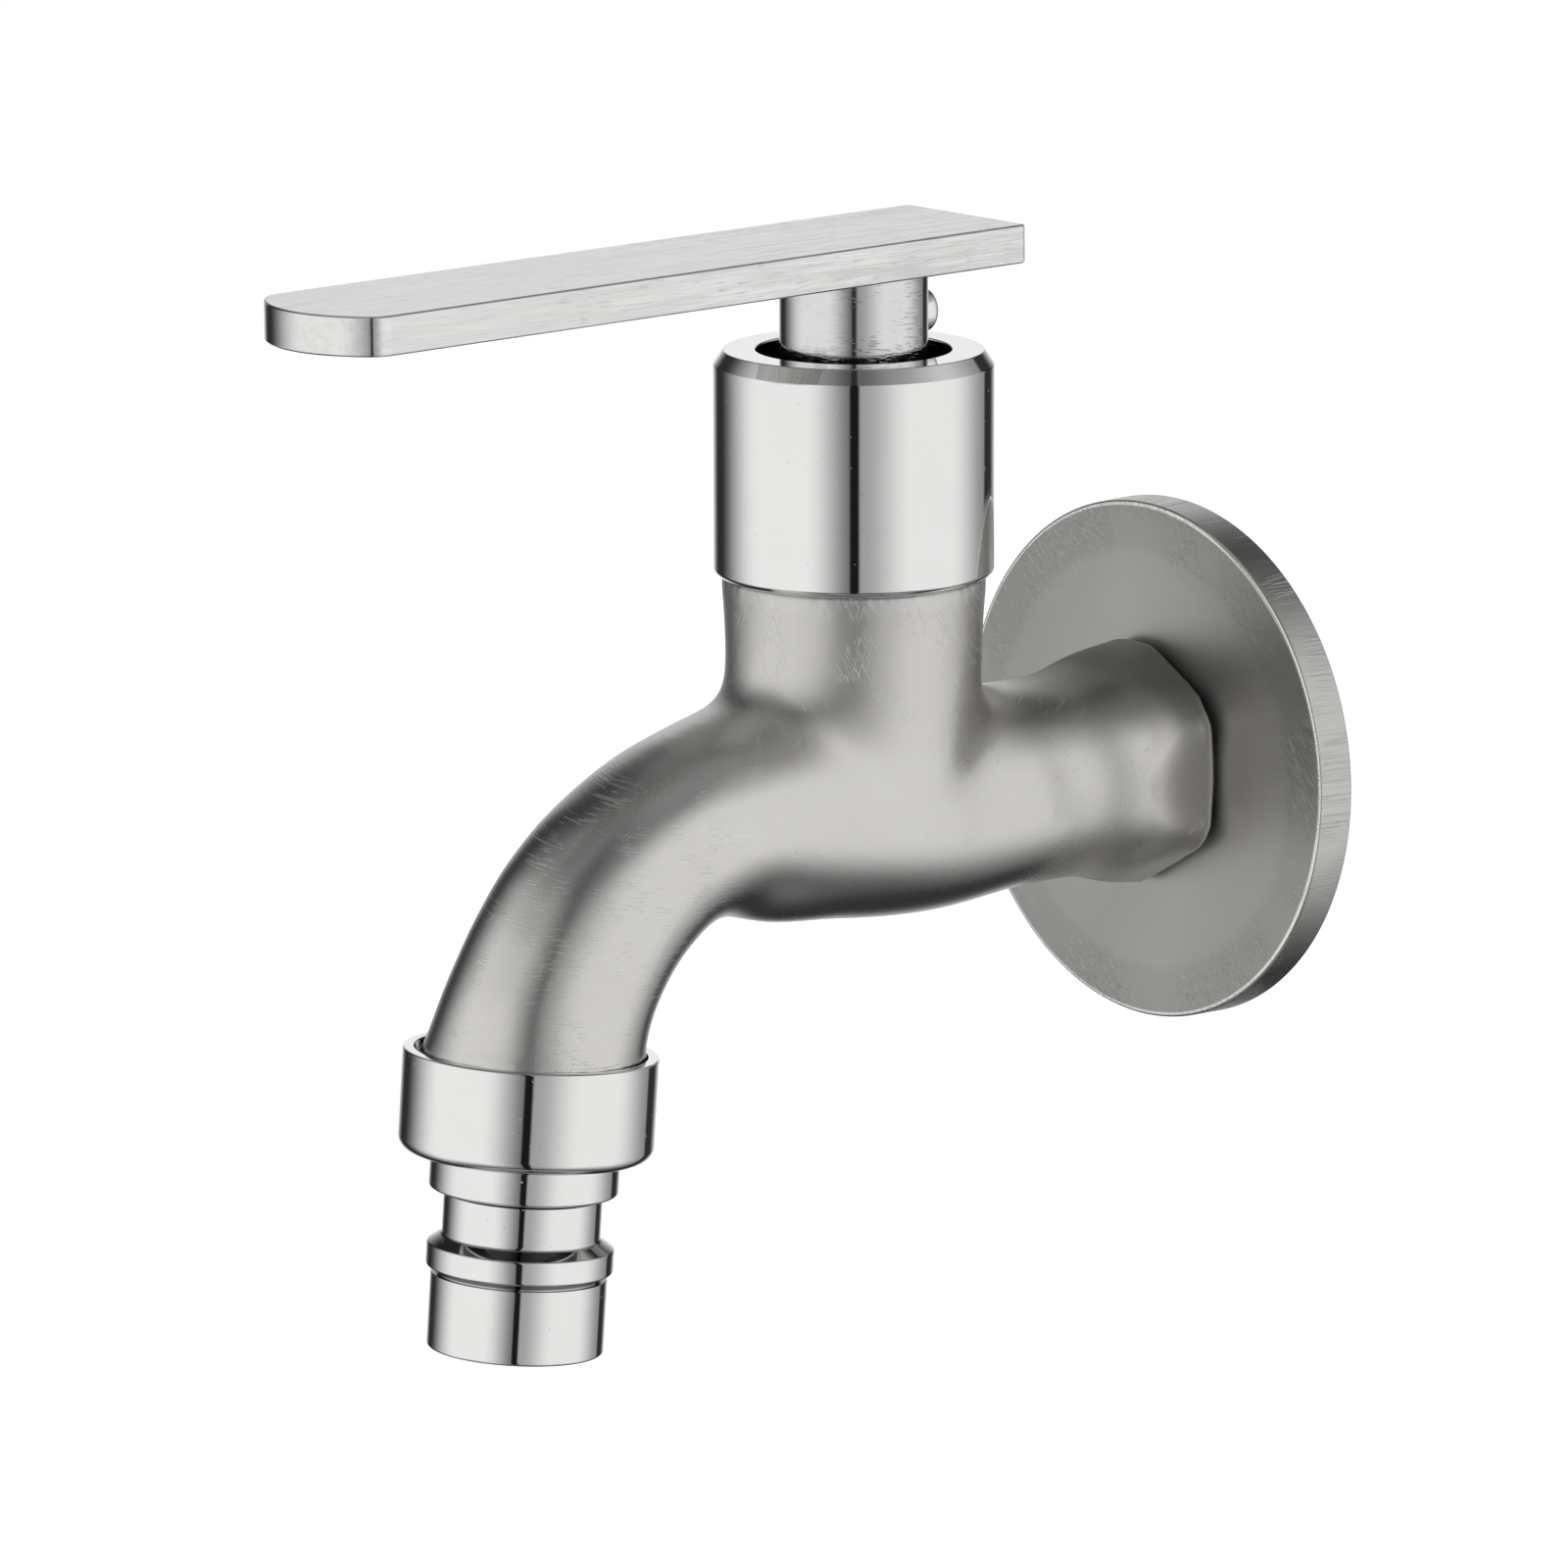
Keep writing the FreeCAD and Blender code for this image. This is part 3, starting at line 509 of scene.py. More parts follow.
def finish_piece(name, bm, material, body, nodes=()):
    """Object at the origin from a bmesh, with sharp edges marked, hung under its body's empty, and
    the CAD nodes it stands for hidden.
    """
    bmesh.ops.recalc_face_normals(bm, faces=bm.faces[:])
    for face in bm.faces:
        face.smooth = True
    for edge in bm.edges:
        edge.smooth = edge.calc_face_angle(0.0) < SHARP_EDGE
    mesh = bpy.data.meshes.new(name)
    bm.to_mesh(mesh)
    bm.free()
    mesh.materials.append(material)
    piece = bpy.data.objects.new(name, mesh)
    bpy.context.scene.collection.objects.link(piece)
    weighted = piece.modifiers.new("even shading", "WEIGHTED_NORMAL")
    weighted.keep_sharp = True
    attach(piece, body)
    if nodes:
        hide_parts(*nodes)
    return piece


def turned_form(corners, at, along, steps, segments=4):
    """Form turned about an axis. A corner is (radius, height, rounding), all in millimetres."""
    bm = bmesh.new()
    verts = [bm.verts.new((radius * MM, 0, height * MM)) for radius, height, _ in corners]
    bm.faces.new(verts)
    for rounding in sorted({corner[2] for corner in corners if corner[2]}):
        picked = [vert for vert, corner in zip(verts, corners) if corner[2] == rounding]
        bmesh.ops.bevel(bm, geom=picked, affect="VERTICES", offset=rounding * MM,
                        segments=segments, profile=0.5, material=-1)
    bmesh.ops.delete(bm, geom=bm.faces[:], context="FACES_ONLY")
    on_axis = [edge for edge in bm.edges if all(vert.co.x < TINY for vert in edge.verts)]
    bmesh.ops.delete(bm, geom=on_axis, context="EDGES")
    bmesh.ops.spin(bm, geom=bm.verts[:] + bm.edges[:], cent=(0, 0, 0), axis=(0, 0, 1),
                   angle=TURN, steps=steps, use_merge=True)
    bmesh.ops.remove_doubles(bm, verts=bm.verts[:], dist=TINY)
    bmesh.ops.transform(bm, matrix=axis_matrix(at, along), verts=bm.verts[:])
    return bm


def thread_ridge(bm, at, along, first, last, sizes):
    """Adds a helical ridge between two heights, fading out at both ends."""
    per_turn = 72
    pitch = sizes.thread_pitch
    foot = sizes.thread_root - 0.00006
    corners = [(foot, -0.46), (sizes.thread_crest, -0.07), (sizes.thread_crest, 0.07), (foot, 0.46)]
    height = last - first - pitch
    steps = int(height / pitch * per_turn)
    start = first + pitch / 2
    verts = [bm.verts.new((radius, 0, start + share * pitch)) for radius, share in corners]
    edges = [bm.edges.new((verts[index - 1], verts[index])) for index in range(4)]
    before = set(bm.verts) - set(verts)
    bmesh.ops.spin(bm, geom=verts + edges, cent=(0, 0, 0), axis=(0, 0, 1),
                   dvec=(0, 0, pitch / per_turn), angle=TURN * steps / per_turn, steps=steps)
    ridge = [vert for vert in bm.verts if vert not in before]
    open_edges = [edge for edge in bm.edges if edge.is_boundary and edge.verts[0] not in before]
    bmesh.ops.holes_fill(bm, edges=open_edges, sides=4)
    end = start + steps * pitch / per_turn
    for vert in ridge:
        near = min(vert.co.z - first, end + pitch / 2 - vert.co.z) / pitch
        share = max(0.0, min(1.0, near * 0.9))
        radius = math.hypot(vert.co.x, vert.co.y)
        wanted = foot + (radius - foot) * share
        vert.co.x *= wanted / radius
        vert.co.y *= wanted / radius
    bmesh.ops.transform(bm, matrix=axis_matrix(at, along), verts=ridge)


def threaded_tube(at, along, first, last, bore, chamfer, sizes, steps):
    """Tube with a pipe thread, from `first` to `last` along its axis."""
    root = sizes.thread_root / MM
    corners = [(bore, first / MM, 0), (root, first / MM, 0), (root, last / MM - chamfer, 0),
               (root - chamfer, last / MM, 0), (bore, last / MM, 0.2)]
    bm = turned_form(corners, Vector((0, 0, 0)), UP, steps)
    bmesh.ops.transform(bm, matrix=axis_matrix(at, along), verts=bm.verts[:])
    thread_ridge(bm, at, along, first, last - chamfer * MM, sizes)
    return bm


def remeshed(context, bm, grid_size):
    """Skin of a closed bmesh on an even grid, which frees the bmesh."""
    rough = bpy.data.meshes.new("rough_skin")
    bm.to_mesh(rough)
    bm.free()
    helper = bpy.data.objects.new("rough_skin", rough)
    context.scene.collection.objects.link(helper)
    grid = helper.modifiers.new("grid", "REMESH")
    grid.mode = "VOXEL"
    grid.voxel_size = grid_size
    depsgraph = context.evaluated_depsgraph_get()
    even = bpy.data.meshes.new_from_object(helper.evaluated_get(depsgraph))
    bpy.data.objects.remove(helper)
    bpy.data.meshes.remove(rough)
    skin = bmesh.new()
    skin.from_mesh(even)
    bpy.data.meshes.remove(even)
    return skin


def soften(bm, verts, rounds):
    for _ in range(rounds):
        bmesh.ops.smooth_vert(bm, verts=verts, factor=0.5,
                              use_axis_x=True, use_axis_y=True, use_axis_z=True)


def far_from_ends(point):
    """True away from the cover's seat, the union nut and the boss behind the hexagon."""
    return (point.z < COVER_SEAT and point.y < BOSS_FACE
            and (point - NUT_TOP).dot(DOWN_OUTLET) < -NUT_GAP)


def middle_line(start_height, rise, lead, end_lead, set_back):
    """Points of a spout's middle line. Lengths in millimetres, the rise in degrees."""
    climb = math.radians(rise)
    start = VALVE_FOOT + UP * start_height * MM
    second = start + (UP * math.sin(climb) - INTO_WALL * math.cos(climb)) * lead * MM
    end = NUT_TOP + DOWN_OUTLET * MM + INTO_WALL * set_back * MM
    return interpolate_bezier(start, second, end - DOWN_OUTLET * end_lead * MM, end, LINE_STEPS + 1)


def line_frame(line, share):
    """Place, direction and downward side at a share of a middle line."""
    step = min(int(share * LINE_STEPS), LINE_STEPS - 1)
    along = line[step + 1] - line[step]
    place = line[step] + along * (share * LINE_STEPS - step)
    return place, along.normalized(), ACROSS.cross(along).normalized()


def between(table, value):
    """Row of a table for a value of its first column, the other columns read between its rows."""
    if value <= table[0][0]:
        return table[0][1:]
    for low, high in zip(table, table[1:]):
        if value <= high[0]:
            part = (value - low[0]) / (high[0] - low[0])
            return tuple(a + (b - a) * part for a, b in zip(low[1:], high[1:]))
    return table[-1][1:]


def smooth_step(value, low, high):
    share = max(0.0, min(1.0, (value - low) / (high - low)))
    return share * share * (3 - 2 * share)


def even_sides(bm):
    """Evens the belly's and barrel's sides into one gentle line from the valve to the hexagon."""
    for vert in bm.verts:
        place = vert.co
        below_neck = smooth_step(-place.z, *NECK_FADE) if place.y < NECK_FRONT else 1.0
        place.x *= 1 + (between(SIDE_GROWTH, place.y)[0] - 1) * below_neck


def bend_spout(bm):
    """Bends the solid's spout to the casting's rounder line, with a fuller root underneath."""
    drawn, wanted = middle_line(*SOLID_LINE), middle_line(*CAST_LINE)
    tree = KDTree(len(drawn))
    for index, point in enumerate(drawn):
        tree.insert(point, index)
    tree.balance()
    for vert in bm.verts:
        if vert.co.y > SPOUT_START:
            continue
        index = tree.find(vert.co)[1]
        place, along, down = line_frame(drawn, index / LINE_STEPS)
        step = (drawn[max(index, 1)] - drawn[max(index, 1) - 1]).length
        share = max(0.0, min(1.0, (index + (vert.co - place).dot(along) / step) / LINE_STEPS))
        place, along, down = line_frame(drawn, share)
        offset = vert.co - place
        height = offset.dot(down)
        wider, outer, inner = between(SPOUT_GROWTH, share)
        taller = inner if height > 0 else outer
        new_place, new_along, new_down = line_frame(wanted, share)
        bent = (new_place + ACROSS * vert.co.x * wider + new_down * height * taller
                + new_along * offset.dot(along))
        vert.co = vert.co.lerp(bent, smooth_step(share, *BEND_SHARES))
        fuller = smooth_step(share, *ROOT_RISE) * smooth_step(-share, *ROOT_FALL)
        vert.co += new_down * ROOT_GAIN * fuller * max(0.0, height / ROOT_DEPTH) ** 2


def cut_away(bm, place, way):
    """Cuts off what lies beyond a plane, and gives the edges of the opening."""
    bmesh.ops.bisect_plane(bm, geom=bm.verts[:] + bm.edges[:] + bm.faces[:], dist=1e-6,
                           plane_co=place, plane_no=way, clear_outer=True)
    return [edge for edge in bm.edges if edge.is_boundary]


def hexagon_end():
    """Barrel's end at the wall: a late flare with six flats cut into it."""
    corners = [(6.0, -23.0, 0), (10.6, -23.0, 0), (10.95, -21.0, 0), (11.0, -18.0, 0),
               (11.3, -15.5, 0), (11.8, -13.7, 0), (12.3, -12.1, 0), (12.8, -10.6, 0),
               (13.2, -8.8, 0), (13.35, -7.0, 0), (13.35, -4.8, 0), (11.7, -4.8, 0),
               (11.7, -4.5, 0), (6.0, -4.5, 0)]
    bm = turned_form(corners, WALL_CENTRE, INTO_WALL, 120)
    for side, distance in enumerate(HEXAGON_FLATS_MM):
        way = Matrix.Rotation(side * TURN / 6, 4, "Y") @ ACROSS
        bmesh.ops.holes_fill(bm, edges=cut_away(bm, way * distance * MM, way), sides=0)
    return bm


def add_form(bm, form):
    """Adds a second bmesh to the first and frees it."""
    mesh = bpy.data.meshes.new("added_form")
    form.to_mesh(mesh)
    form.free()
    bm.from_mesh(mesh)
    bpy.data.meshes.remove(mesh)


class TAP_OT_casting(bpy.types.Operator):
    """Cast body with its belly, spout, neck and hexagon, drawn on a fine grid and softened"""

    bl_idname = "tap.casting"
    bl_label = "Cast body"

    def execute(self, context):
        sizes, finishes = context.scene.tap_sizes, context.scene.tap_finishes
        bm = bmesh.new()
        bm.from_mesh(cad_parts["tap_body"].data)
        bmesh.ops.remove_doubles(bm, verts=bm.verts[:], dist=2e-6)
        bmesh.ops.bridge_loops(bm, edges=cut_away(bm, INTO_WALL * FLARE_CUT, INTO_WALL))
        bmesh.ops.bridge_loops(bm, edges=cut_away(bm, NUT_TOP + DOWN_OUTLET * THREAD_CUT,
                                                  DOWN_OUTLET))
        bend_spout(bm)
        add_form(bm, hexagon_end())
        even_sides(bm)
        skin = remeshed(context, bm, sizes.cast_grid)
        soften(skin, skin.verts[:], sizes.edge_softness)
        soften(skin, [vert for vert in skin.verts if far_from_ends(vert.co)], sizes.cast_softness)
        material = satin_steel("cast_satin", finishes.cast_color, finishes.cast_roughness)
        finish_piece("tap_casting", skin, material, "tap", ["tap_body"])
        return {"FINISHED"}


class TAP_OT_threads(bpy.types.Operator):
    """Half-inch pipe threads of the inlet tail and of the spout's end"""

    bl_idname = "tap.threads"
    bl_label = "Pipe threads"

    def execute(self, context):
        sizes, finishes = context.scene.tap_sizes, context.scene.tap_finishes
        material = satin_steel("thread_steel", finishes.cast_color, finishes.cast_roughness, 0.3)
        steps = sizes.turning_steps
        tail = threaded_tube(WALL_CENTRE, INTO_WALL, -0.0044, 0.013, 6.0, 0.8, sizes, steps)
        finish_piece("inlet_thread", tail, material, "tap")
        end = threaded_tube(NUT_TOP, DOWN_OUTLET, 0.0012, 0.00645, 8.0, 0.4, sizes, steps)
        finish_piece("spout_thread", end, material, "tap")
        return {"FINISHED"}


class TAP_OT_flange(bpy.types.Operator):
    """Pressed wall flange with a rolled edge"""

    bl_idname = "tap.flange"
    bl_label = "Wall flange"

    def execute(self, context):
        sizes, finishes = context.scene.tap_sizes, context.scene.tap_finishes
        corners = [(28.35, 0.0, 0.25), (28.25, -4.5, 0.4), (24.5, -4.40, 1.2), (12.6, -4.22, 0.4),
                   (10.83, -4.22, 0.15), (10.83, -3.3, 0.15), (27.0, -3.3, 0.6), (27.15, 0.0, 0.25)]
        bm = turned_form(corners, WALL_CENTRE, INTO_WALL, sizes.turning_steps, 5)
        material = flange_steel("flange_satin", finishes.flange_color, 0.39)
        finish_piece("flange_cup", bm, material, "tap", ["wall_flange"])
        return {"FINISHED"}


class TAP_OT_cover(bpy.types.Operator):
    """Polished cover round the headwork"""

    bl_idname = "tap.cover"
    bl_label = "Headwork cover"

    def execute(self, context):
        sizes = context.scene.tap_sizes
        corners = [(12.65, 25.6, 0.1), (14.2, 25.6, 0.12), (14.75, 26.15, 0.2), (14.75, 47.9, 0.12),
                   (13.68, 49.5, 0.1), (10.28, 49.5, 0.2), (10.28, 46.9, 0.1), (12.65, 46.9, 0.1)]
        bm = turned_form(corners, VALVE_FOOT, UP, sizes.turning_steps)
        finish_piece("cover_sleeve", bm, polished(context), "tap", ["bonnet_cover"])
        return {"FINISHED"}


class TAP_OT_handle(bpy.types.Operator):
    """Brushed post and the screw that holds it"""

    bl_idname = "tap.handle"
    bl_label = "Handle post and screw"

    def execute(self, context):
        sizes, finishes = context.scene.tap_sizes, context.scene.tap_finishes
        corners = [(5.05, 43.4, 0.1), (7.8, 43.4, 0.3), (7.8, 57.9, 0.05), (0.6, 57.9, 0),
                   (0.6, 56.1, 0), (4.0, 56.1, 0), (4.0, 43.9, 0), (5.05, 43.9, 0)]
        bm = turned_form(corners, VALVE_FOOT, UP, sizes.turning_steps)
        material = post_steel("post_brushed", finishes.post_color, 0.09)
        finish_piece("post_bar", bm, material, "handle", ["lever_post"])
        screw_middle = VALVE_FOOT + UP * (LEVER_UNDERSIDE - 5.2 * MM)
        corners = [(0, 4.1, 0), (1.9, 4.1, 0), (1.9, 7.42, 0), (2.5, 7.42, 0.1), (2.5, 10.0, 0.8),
                   (1.25, 10.0, 0.12), (1.25, 8.6, 0), (0, 8.3, 0)]
        bm = turned_form(corners, screw_middle, INTO_WALL, 72)
        finish_piece("back_screw", bm, polished(context), "handle", ["handle_screw"])
        return {"FINISHED"}


def lever_outline():
    """Flat face of the lever: a round tip with rounded corners, straight sides, a square tail."""
    low = LEVER_UNDERSIDE
    inset = LEVER_HALF - TIP_CORNER
    spread = math.asin(inset / (TIP_RADIUS - TIP_CORNER))
    middle = LEVER_TIP + TIP_RADIUS
    side = middle - (TIP_RADIUS - TIP_CORNER) * math.cos(spread)
    arcs = [((-inset, side, low), TURN / 4 - spread, 16), ((0, middle, low), 2 * spread, 60),
            ((inset, side, low), TURN / 4 - spread, 16)]
    bm = bmesh.new()
    last = [bm.verts.new((-LEVER_HALF, side, low))]
    for centre, angle, steps in arcs:
        last = bmesh.ops.spin(bm, geom=last, cent=centre, axis=(0, 0, 1), angle=angle,
                              steps=steps)["geom_last"]
    ends = [vert for vert in bm.verts if len(vert.link_edges) == 1]
    left, right = sorted(ends, key=lambda vert: vert.co.x)
    right_tail = bm.verts.new((LEVER_HALF, LEVER_TAIL, low))
    left_tail = bm.verts.new((-LEVER_HALF, LEVER_TAIL, low))
    for pair in ((right, right_tail), (right_tail, left_tail), (left_tail, left)):
        bm.edges.new(pair)
    bmesh.ops.contextual_create(bm, geom=bm.edges[:])
    return bm


class TAP_OT_lever(bpy.types.Operator):
    """Flat lever: round in front, square behind, edges just broken"""

    bl_idname = "tap.lever"
    bl_label = "Lever"

    def execute(self, context):
        finishes = context.scene.tap_finishes
        bm = lever_outline()
        made = bmesh.ops.extrude_face_region(bm, geom=bm.faces[:])
        raised = [item for item in made["geom"] if isinstance(item, bmesh.types.BMVert)]
        bmesh.ops.translate(bm, verts=raised, vec=(0, 0, LEVER_THICKNESS))
        upright = [edge for edge in bm.edges
                   if abs(edge.verts[0].co.z - edge.verts[1].co.z) > LEVER_THICKNESS / 2
                   and edge.verts[0].co.y > LEVER_TAIL - 1e-6]
        bmesh.ops.bevel(bm, geom=upright, affect="EDGES", offset=TAIL_ROUNDING, segments=4,
                        profile=0.5, material=-1)
        rim = [edge for edge in bm.edges if edge.calc_face_angle(0.0) > math.radians(60)]
        bmesh.ops.bevel(bm, geom=rim, affect="EDGES", offset=RIM_CHAMFER, segments=1,
                        profile=0.5, material=-1)
        hinge = Matrix.Translation((0, -VALVE_REACH, LEVER_UNDERSIDE))
        dip = hinge @ Matrix.Rotation(LEVER_DIP, 4, "X") @ hinge.inverted()
        bmesh.ops.transform(bm, matrix=dip, verts=bm.verts[:])
        material = lever_steel("lever_brushed", finishes.lever_color, 0.28)
        finish_piece("lever_flat", bm, material, "handle", ["lever_bar"])
        return {"FINISHED"}


class TAP_OT_union_nut(bpy.types.Operator):
    """Polished union nut with its open top round the spout"""

    bl_idname = "tap.union_nut"
    bl_label = "Union nut"

    def execute(self, context):
        sizes = context.scene.tap_sizes
        corners = [(12.1, 0, 0.12), (13.28, 0, 0.22), (13.28, 10.7, 1.4), (9.93, 10.7, 0.15),
                   (9.93, 9.2, 0), (10.54, 9.2, 0), (10.54, 1.5, 0.1), (12.1, 1.5, 0.05)]
        bm = turned_form(corners, NUT_TOP, DOWN_OUTLET, sizes.turning_steps, 6)
        finish_piece("nut_turned", bm, polished(context), "union_nut", ["union_nut"])
        return {"FINISHED"}


class TAP_OT_nozzle(bpy.types.Operator):
    """Stepped hose nozzle: collar, neck, catch ring and plain barrel"""

    bl_idname = "tap.nozzle"
    bl_label = "Hose nozzle"

    def execute(self, context):
        sizes = context.scene.tap_sizes
        corners = [(6.5, 7.7, 0), (10.3, 7.7, 0), (10.3, 9.15, 0), (9.85, 9.15, 0),
                   (9.85, 14.6, 0.35), (7.9, 14.6, 0), (7.9, 15.0, 0), (8.25, 15.0, 0.1),
                   (8.25, 19.4, 0.3), (9.75, 20.4, 0.2), (9.75, 22.9, 0.35), (8.6, 22.9, 0),
                   (8.6, 23.5, 0), (9.2, 23.5, 0.1), (9.2, 31.4, 0.35), (6.5, 31.4, 0.35)]
        bm = turned_form(corners, NUT_TOP, DOWN_OUTLET, sizes.turning_steps)
        finish_piece("nozzle_turned", bm, polished(context), "hose_nozzle", ["nozzle"])
        return {"FINISHED"}


def polished(context):
    """The one polished finish, made when it is first asked for."""
    made = bpy.data.materials.get("mirror_polish")
    if made is None:
        finishes = context.scene.tap_finishes
        made = polished_steel("mirror_polish", finishes.polished_color, finishes.polished_roughness)
    return made


class TAP_OT_headwork(bpy.types.Operator):
    """Finishes of the pieces inside: headwork, discs, seals and washers"""

    bl_idname = "tap.headwork"
    bl_label = "Headwork finishes"

    def execute(self, context):
        finishes = [
            (plain_finish("brass", (0.78, 0.60, 0.32), 0.28, 1.0), ["bonnet", "spindle"]),
            (plain_finish("rubber_black", (0.035, 0.035, 0.035), 0.65),
             ["bonnet_gasket", "seat_seal", "spindle_orings", "nozzle_gasket"]),
            (plain_finish("ceramic_white", (0.86, 0.86, 0.83), 0.25),
             ["fixed_disc", "moving_disc"]),
            (plain_finish("plastic_white", (0.84, 0.84, 0.81), 0.45),
             ["seal_support_ring", "slide_washer", "top_washer"]),
            (plain_finish("spring_steel", (0.38, 0.38, 0.40), 0.35, 1.0), ["spindle_circlip"]),
        ]
        for material, nodes in finishes:
            for node in nodes:
                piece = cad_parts[node]
                for slot in piece.material_slots:
                    slot.material = material
        return {"FINISHED"}


class TAP_OT_stage(bpy.types.Operator):
    """Pale floor, soft studio light and the camera"""

    bl_idname = "tap.stage"
    bl_label = "Stage"

    def execute(self, context):
        studio_world(context.scene)
        floor_disc()
        top_lamp()
        studio_camera(context.scene)
        return {"FINISHED"}


def studio_world(scene):
    """Two broad soft boxes with a dark slit between them, dark sides, and a pale backdrop.

    Angles are in degrees: `angle` round the upright from the camera, `height` above level.
    """
    world = bpy.data.worlds.new("studio")
    world.use_nodes = True
    scene.world = world
    shader = Shader(world.node_tree)
    x, y, z = shader.split(shader.node("ShaderNodeTexCoord", output="Generated"))
    turn = CAMERA_TURN - math.pi / 2
    facing = x * math.cos(turn) + y * math.sin(turn)
    beside = x * math.cos(CAMERA_TURN) + y * math.sin(CAMERA_TURN)
    angle = shader.math("ARCTAN2", beside, facing) * math.degrees(1)
    height = shader.math("ARCSINE", z) * math.degrees(1)
    around = shader.math("ABSOLUTE", angle)
    left = (shader.ease(angle, -140.0, -84.0) * shader.ease(angle, -42.0, 4.0, 1.0, 0.10)
            * shader.ease(angle, 0.0, 1.0, 1.0, 0.0))
    right = shader.ease(angle, 2.0, 6.0, 0.0, 0.36) + shader.ease(angle, 6.0, 50.0, 0.0, 0.52)
    right = (right * shader.ease(angle, 84.0, 134.0, 1.0, 0.30)
             * shader.ease(angle, 132.0, 137.0, 1.0, 0.0))
    slit = shader.ease(around, 2.8, 4.4)
    level = (shader.ease(height, 24.0, 62.0, 1.0, 0.22)
             * shader.ease(height, -62.0, -26.0, 0.12, 1.0))
    boxes = (left * 0.90 + right) * slit * level
    backdrop = (shader.ease(around, 148.0, 176.0) * shader.ease(height, 22.0, 42.0, 1.0, 0.25)
                * shader.ease(height, -40.0, -20.0, 0.0, 1.0))
    ceiling = shader.ease(height, 50.0, 80.0) * 0.10
    under = shader.band(height, -80.0, -70.0, -70.0, -60.0)
    studio = boxes + backdrop * 0.88 + ceiling + under * 0.20 + slit * 0.02 + 0.01
    path = shader.node("ShaderNodeLightPath", output="Is Camera Ray")
    lit = shader.node("ShaderNodeBackground", inputs={"Color": studio, "Strength": 1.0})
    white = shader.node("ShaderNodeBackground", inputs={"Color": (1, 1, 1, 1), "Strength": 1.0})
    shown = shader.node("ShaderNodeMixShader", inputs={0: path, 1: lit, 2: white})
    shader.close("ShaderNodeOutputWorld", shown)


def floor_disc():
    """Pale floor well under the tap: white to the camera, with the tap's soft shadow."""
    bm = bmesh.new()
    bmesh.ops.create_circle(bm, cap_ends=True, segments=96, radius=1.6)
    bmesh.ops.translate(bm, verts=bm.verts[:], vec=(0, -VALVE_REACH, FLOOR_HEIGHT))
    mesh = bpy.data.meshes.new("floor")
    bm.to_mesh(mesh)
    bm.free()
    floor = bpy.data.objects.new("floor", mesh)
    bpy.context.scene.collection.objects.link(floor)
    material, shader = new_material("floor_pale")
    speck = shader.noise(shader.place(), scale=60.0, detail=2.0)
    pale = shader.blend(speck, (0.90, 0.90, 0.90, 1), (0.92, 0.92, 0.92, 1))
    diffuse = shader.node("ShaderNodeBsdfDiffuse", inputs={"Color": pale})
    glow = shader.node("ShaderNodeEmission", inputs={"Color": (1, 1, 1, 1), "Strength": 0.62})
    both = shader.node("ShaderNodeAddShader", inputs={0: diffuse, 1: glow})
    camera_ray = shader.node("ShaderNodeLightPath", output="Is Camera Ray")
    shown = shader.node("ShaderNodeMixShader", inputs={0: camera_ray, 1: diffuse, 2: both})
    shader.close("ShaderNodeOutputMaterial", shown)
    mesh.materials.append(material)
    floor.visible_glossy = False


def top_lamp():
    """One large soft lamp above, for the floor's shadow and the dull pieces."""
    lamp = bpy.data.lights.new("top_soft", "AREA")
    lamp.shape = "SQUARE"
    lamp.size = 1.2
    lamp.energy = 16.0
    top = bpy.data.objects.new("top_soft", lamp)
    bpy.context.scene.collection.objects.link(top)
    top.location = LAMP_PLACE
    top.rotation_euler = (LAMP_AIM - LAMP_PLACE).to_track_quat("-Z", "Y").to_euler()
    top.visible_glossy = False


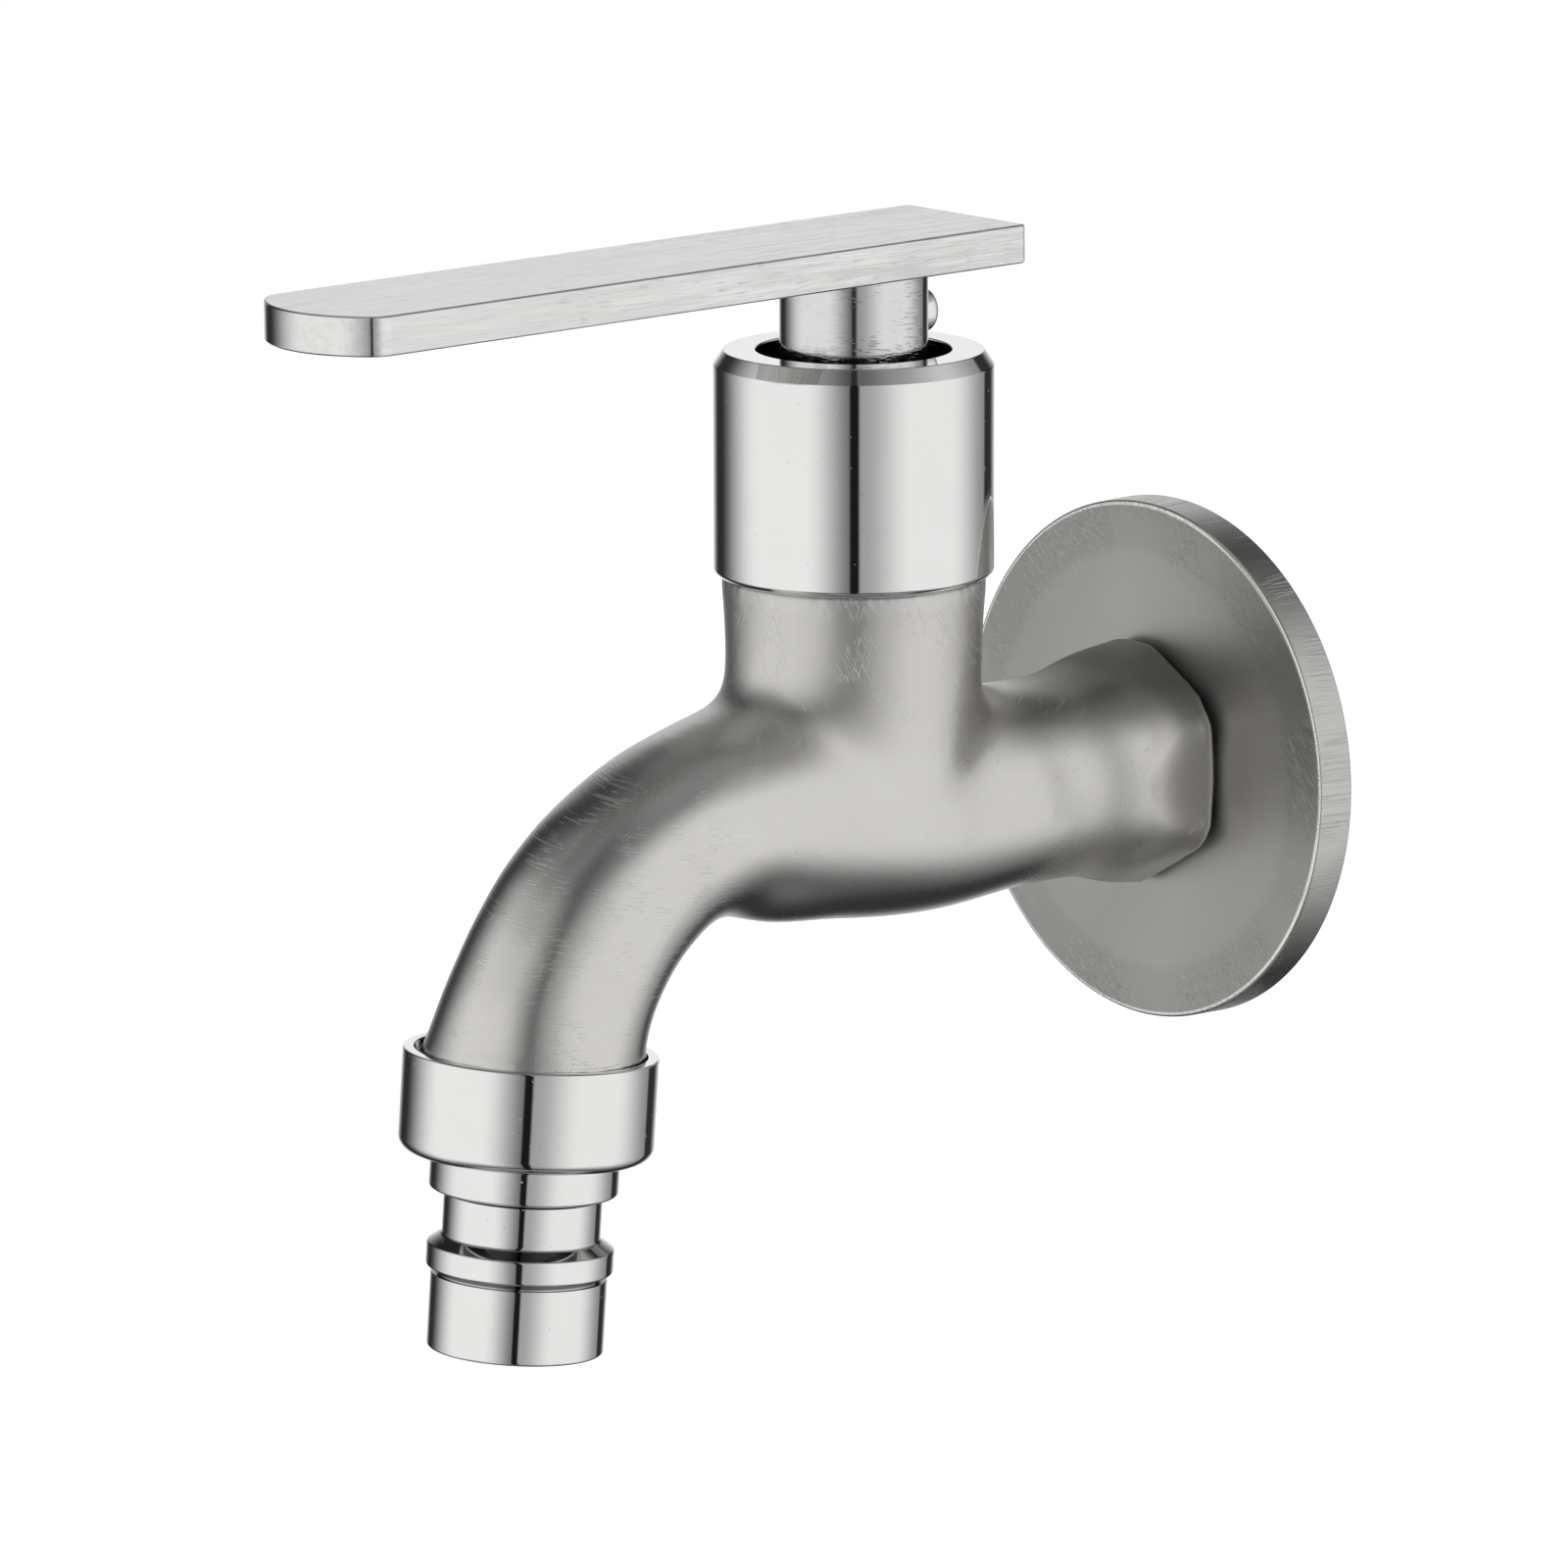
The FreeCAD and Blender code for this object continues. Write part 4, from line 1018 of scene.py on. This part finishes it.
def studio_camera(scene):
    """Camera at the photograph's viewing angle, with a square sensor."""
    lens = bpy.data.cameras.new("camera")
    lens.lens = CAMERA_LENS
    lens.sensor_width = CAMERA_SENSOR
    lens.sensor_height = CAMERA_SENSOR
    camera = bpy.data.objects.new("camera", lens)
    scene.collection.objects.link(camera)
    turn = Matrix.Rotation(CAMERA_TURN, 4, "Z")
    lift = Matrix.Rotation(math.pi / 2 - CAMERA_LIFT, 4, "X")
    roll = Matrix.Rotation(CAMERA_ROLL, 4, "Z")
    camera.matrix_world = Matrix.Translation(CAMERA_PLACE) @ turn @ lift @ roll
    scene.camera = camera
    scene.view_settings.view_transform = "Standard"


class TAP_PT_pieces(bpy.types.Panel):
    """Lists the tap's pieces, sizes and finishes"""

    bl_idname = "TAP_PT_pieces"
    bl_label = "Washing machine tap"
    bl_space_type = "VIEW_3D"
    bl_region_type = "UI"
    bl_category = "Tap"

    def draw(self, context):
        column = self.layout.column()
        for operator in OPERATORS:
            column.operator(operator.bl_idname)
        for group in (context.scene.tap_sizes, context.scene.tap_finishes):
            for name in group.__annotations__:
                column.prop(group, name)


OPERATORS = [TAP_OT_casting, TAP_OT_threads, TAP_OT_flange, TAP_OT_cover, TAP_OT_handle,
             TAP_OT_lever, TAP_OT_union_nut, TAP_OT_nozzle, TAP_OT_headwork, TAP_OT_stage]
CLASSES = [TapSizes, TapFinishes] + OPERATORS + [TAP_PT_pieces]


def register():
    for kind in CLASSES:
        bpy.utils.register_class(kind)
    bpy.types.Scene.tap_sizes = bpy.props.PointerProperty(type=TapSizes)
    bpy.types.Scene.tap_finishes = bpy.props.PointerProperty(type=TapFinishes)


def unregister():
    del bpy.types.Scene.tap_finishes
    del bpy.types.Scene.tap_sizes
    for kind in reversed(CLASSES):
        bpy.utils.unregister_class(kind)


def main():
    register()
    bpy.ops.tap.casting()
    bpy.ops.tap.threads()
    bpy.ops.tap.flange()
    bpy.ops.tap.cover()
    bpy.ops.tap.handle()
    bpy.ops.tap.lever()
    bpy.ops.tap.union_nut()
    bpy.ops.tap.nozzle()
    bpy.ops.tap.headwork()
    bpy.ops.tap.stage()


if __name__ == "__main__":
    main()
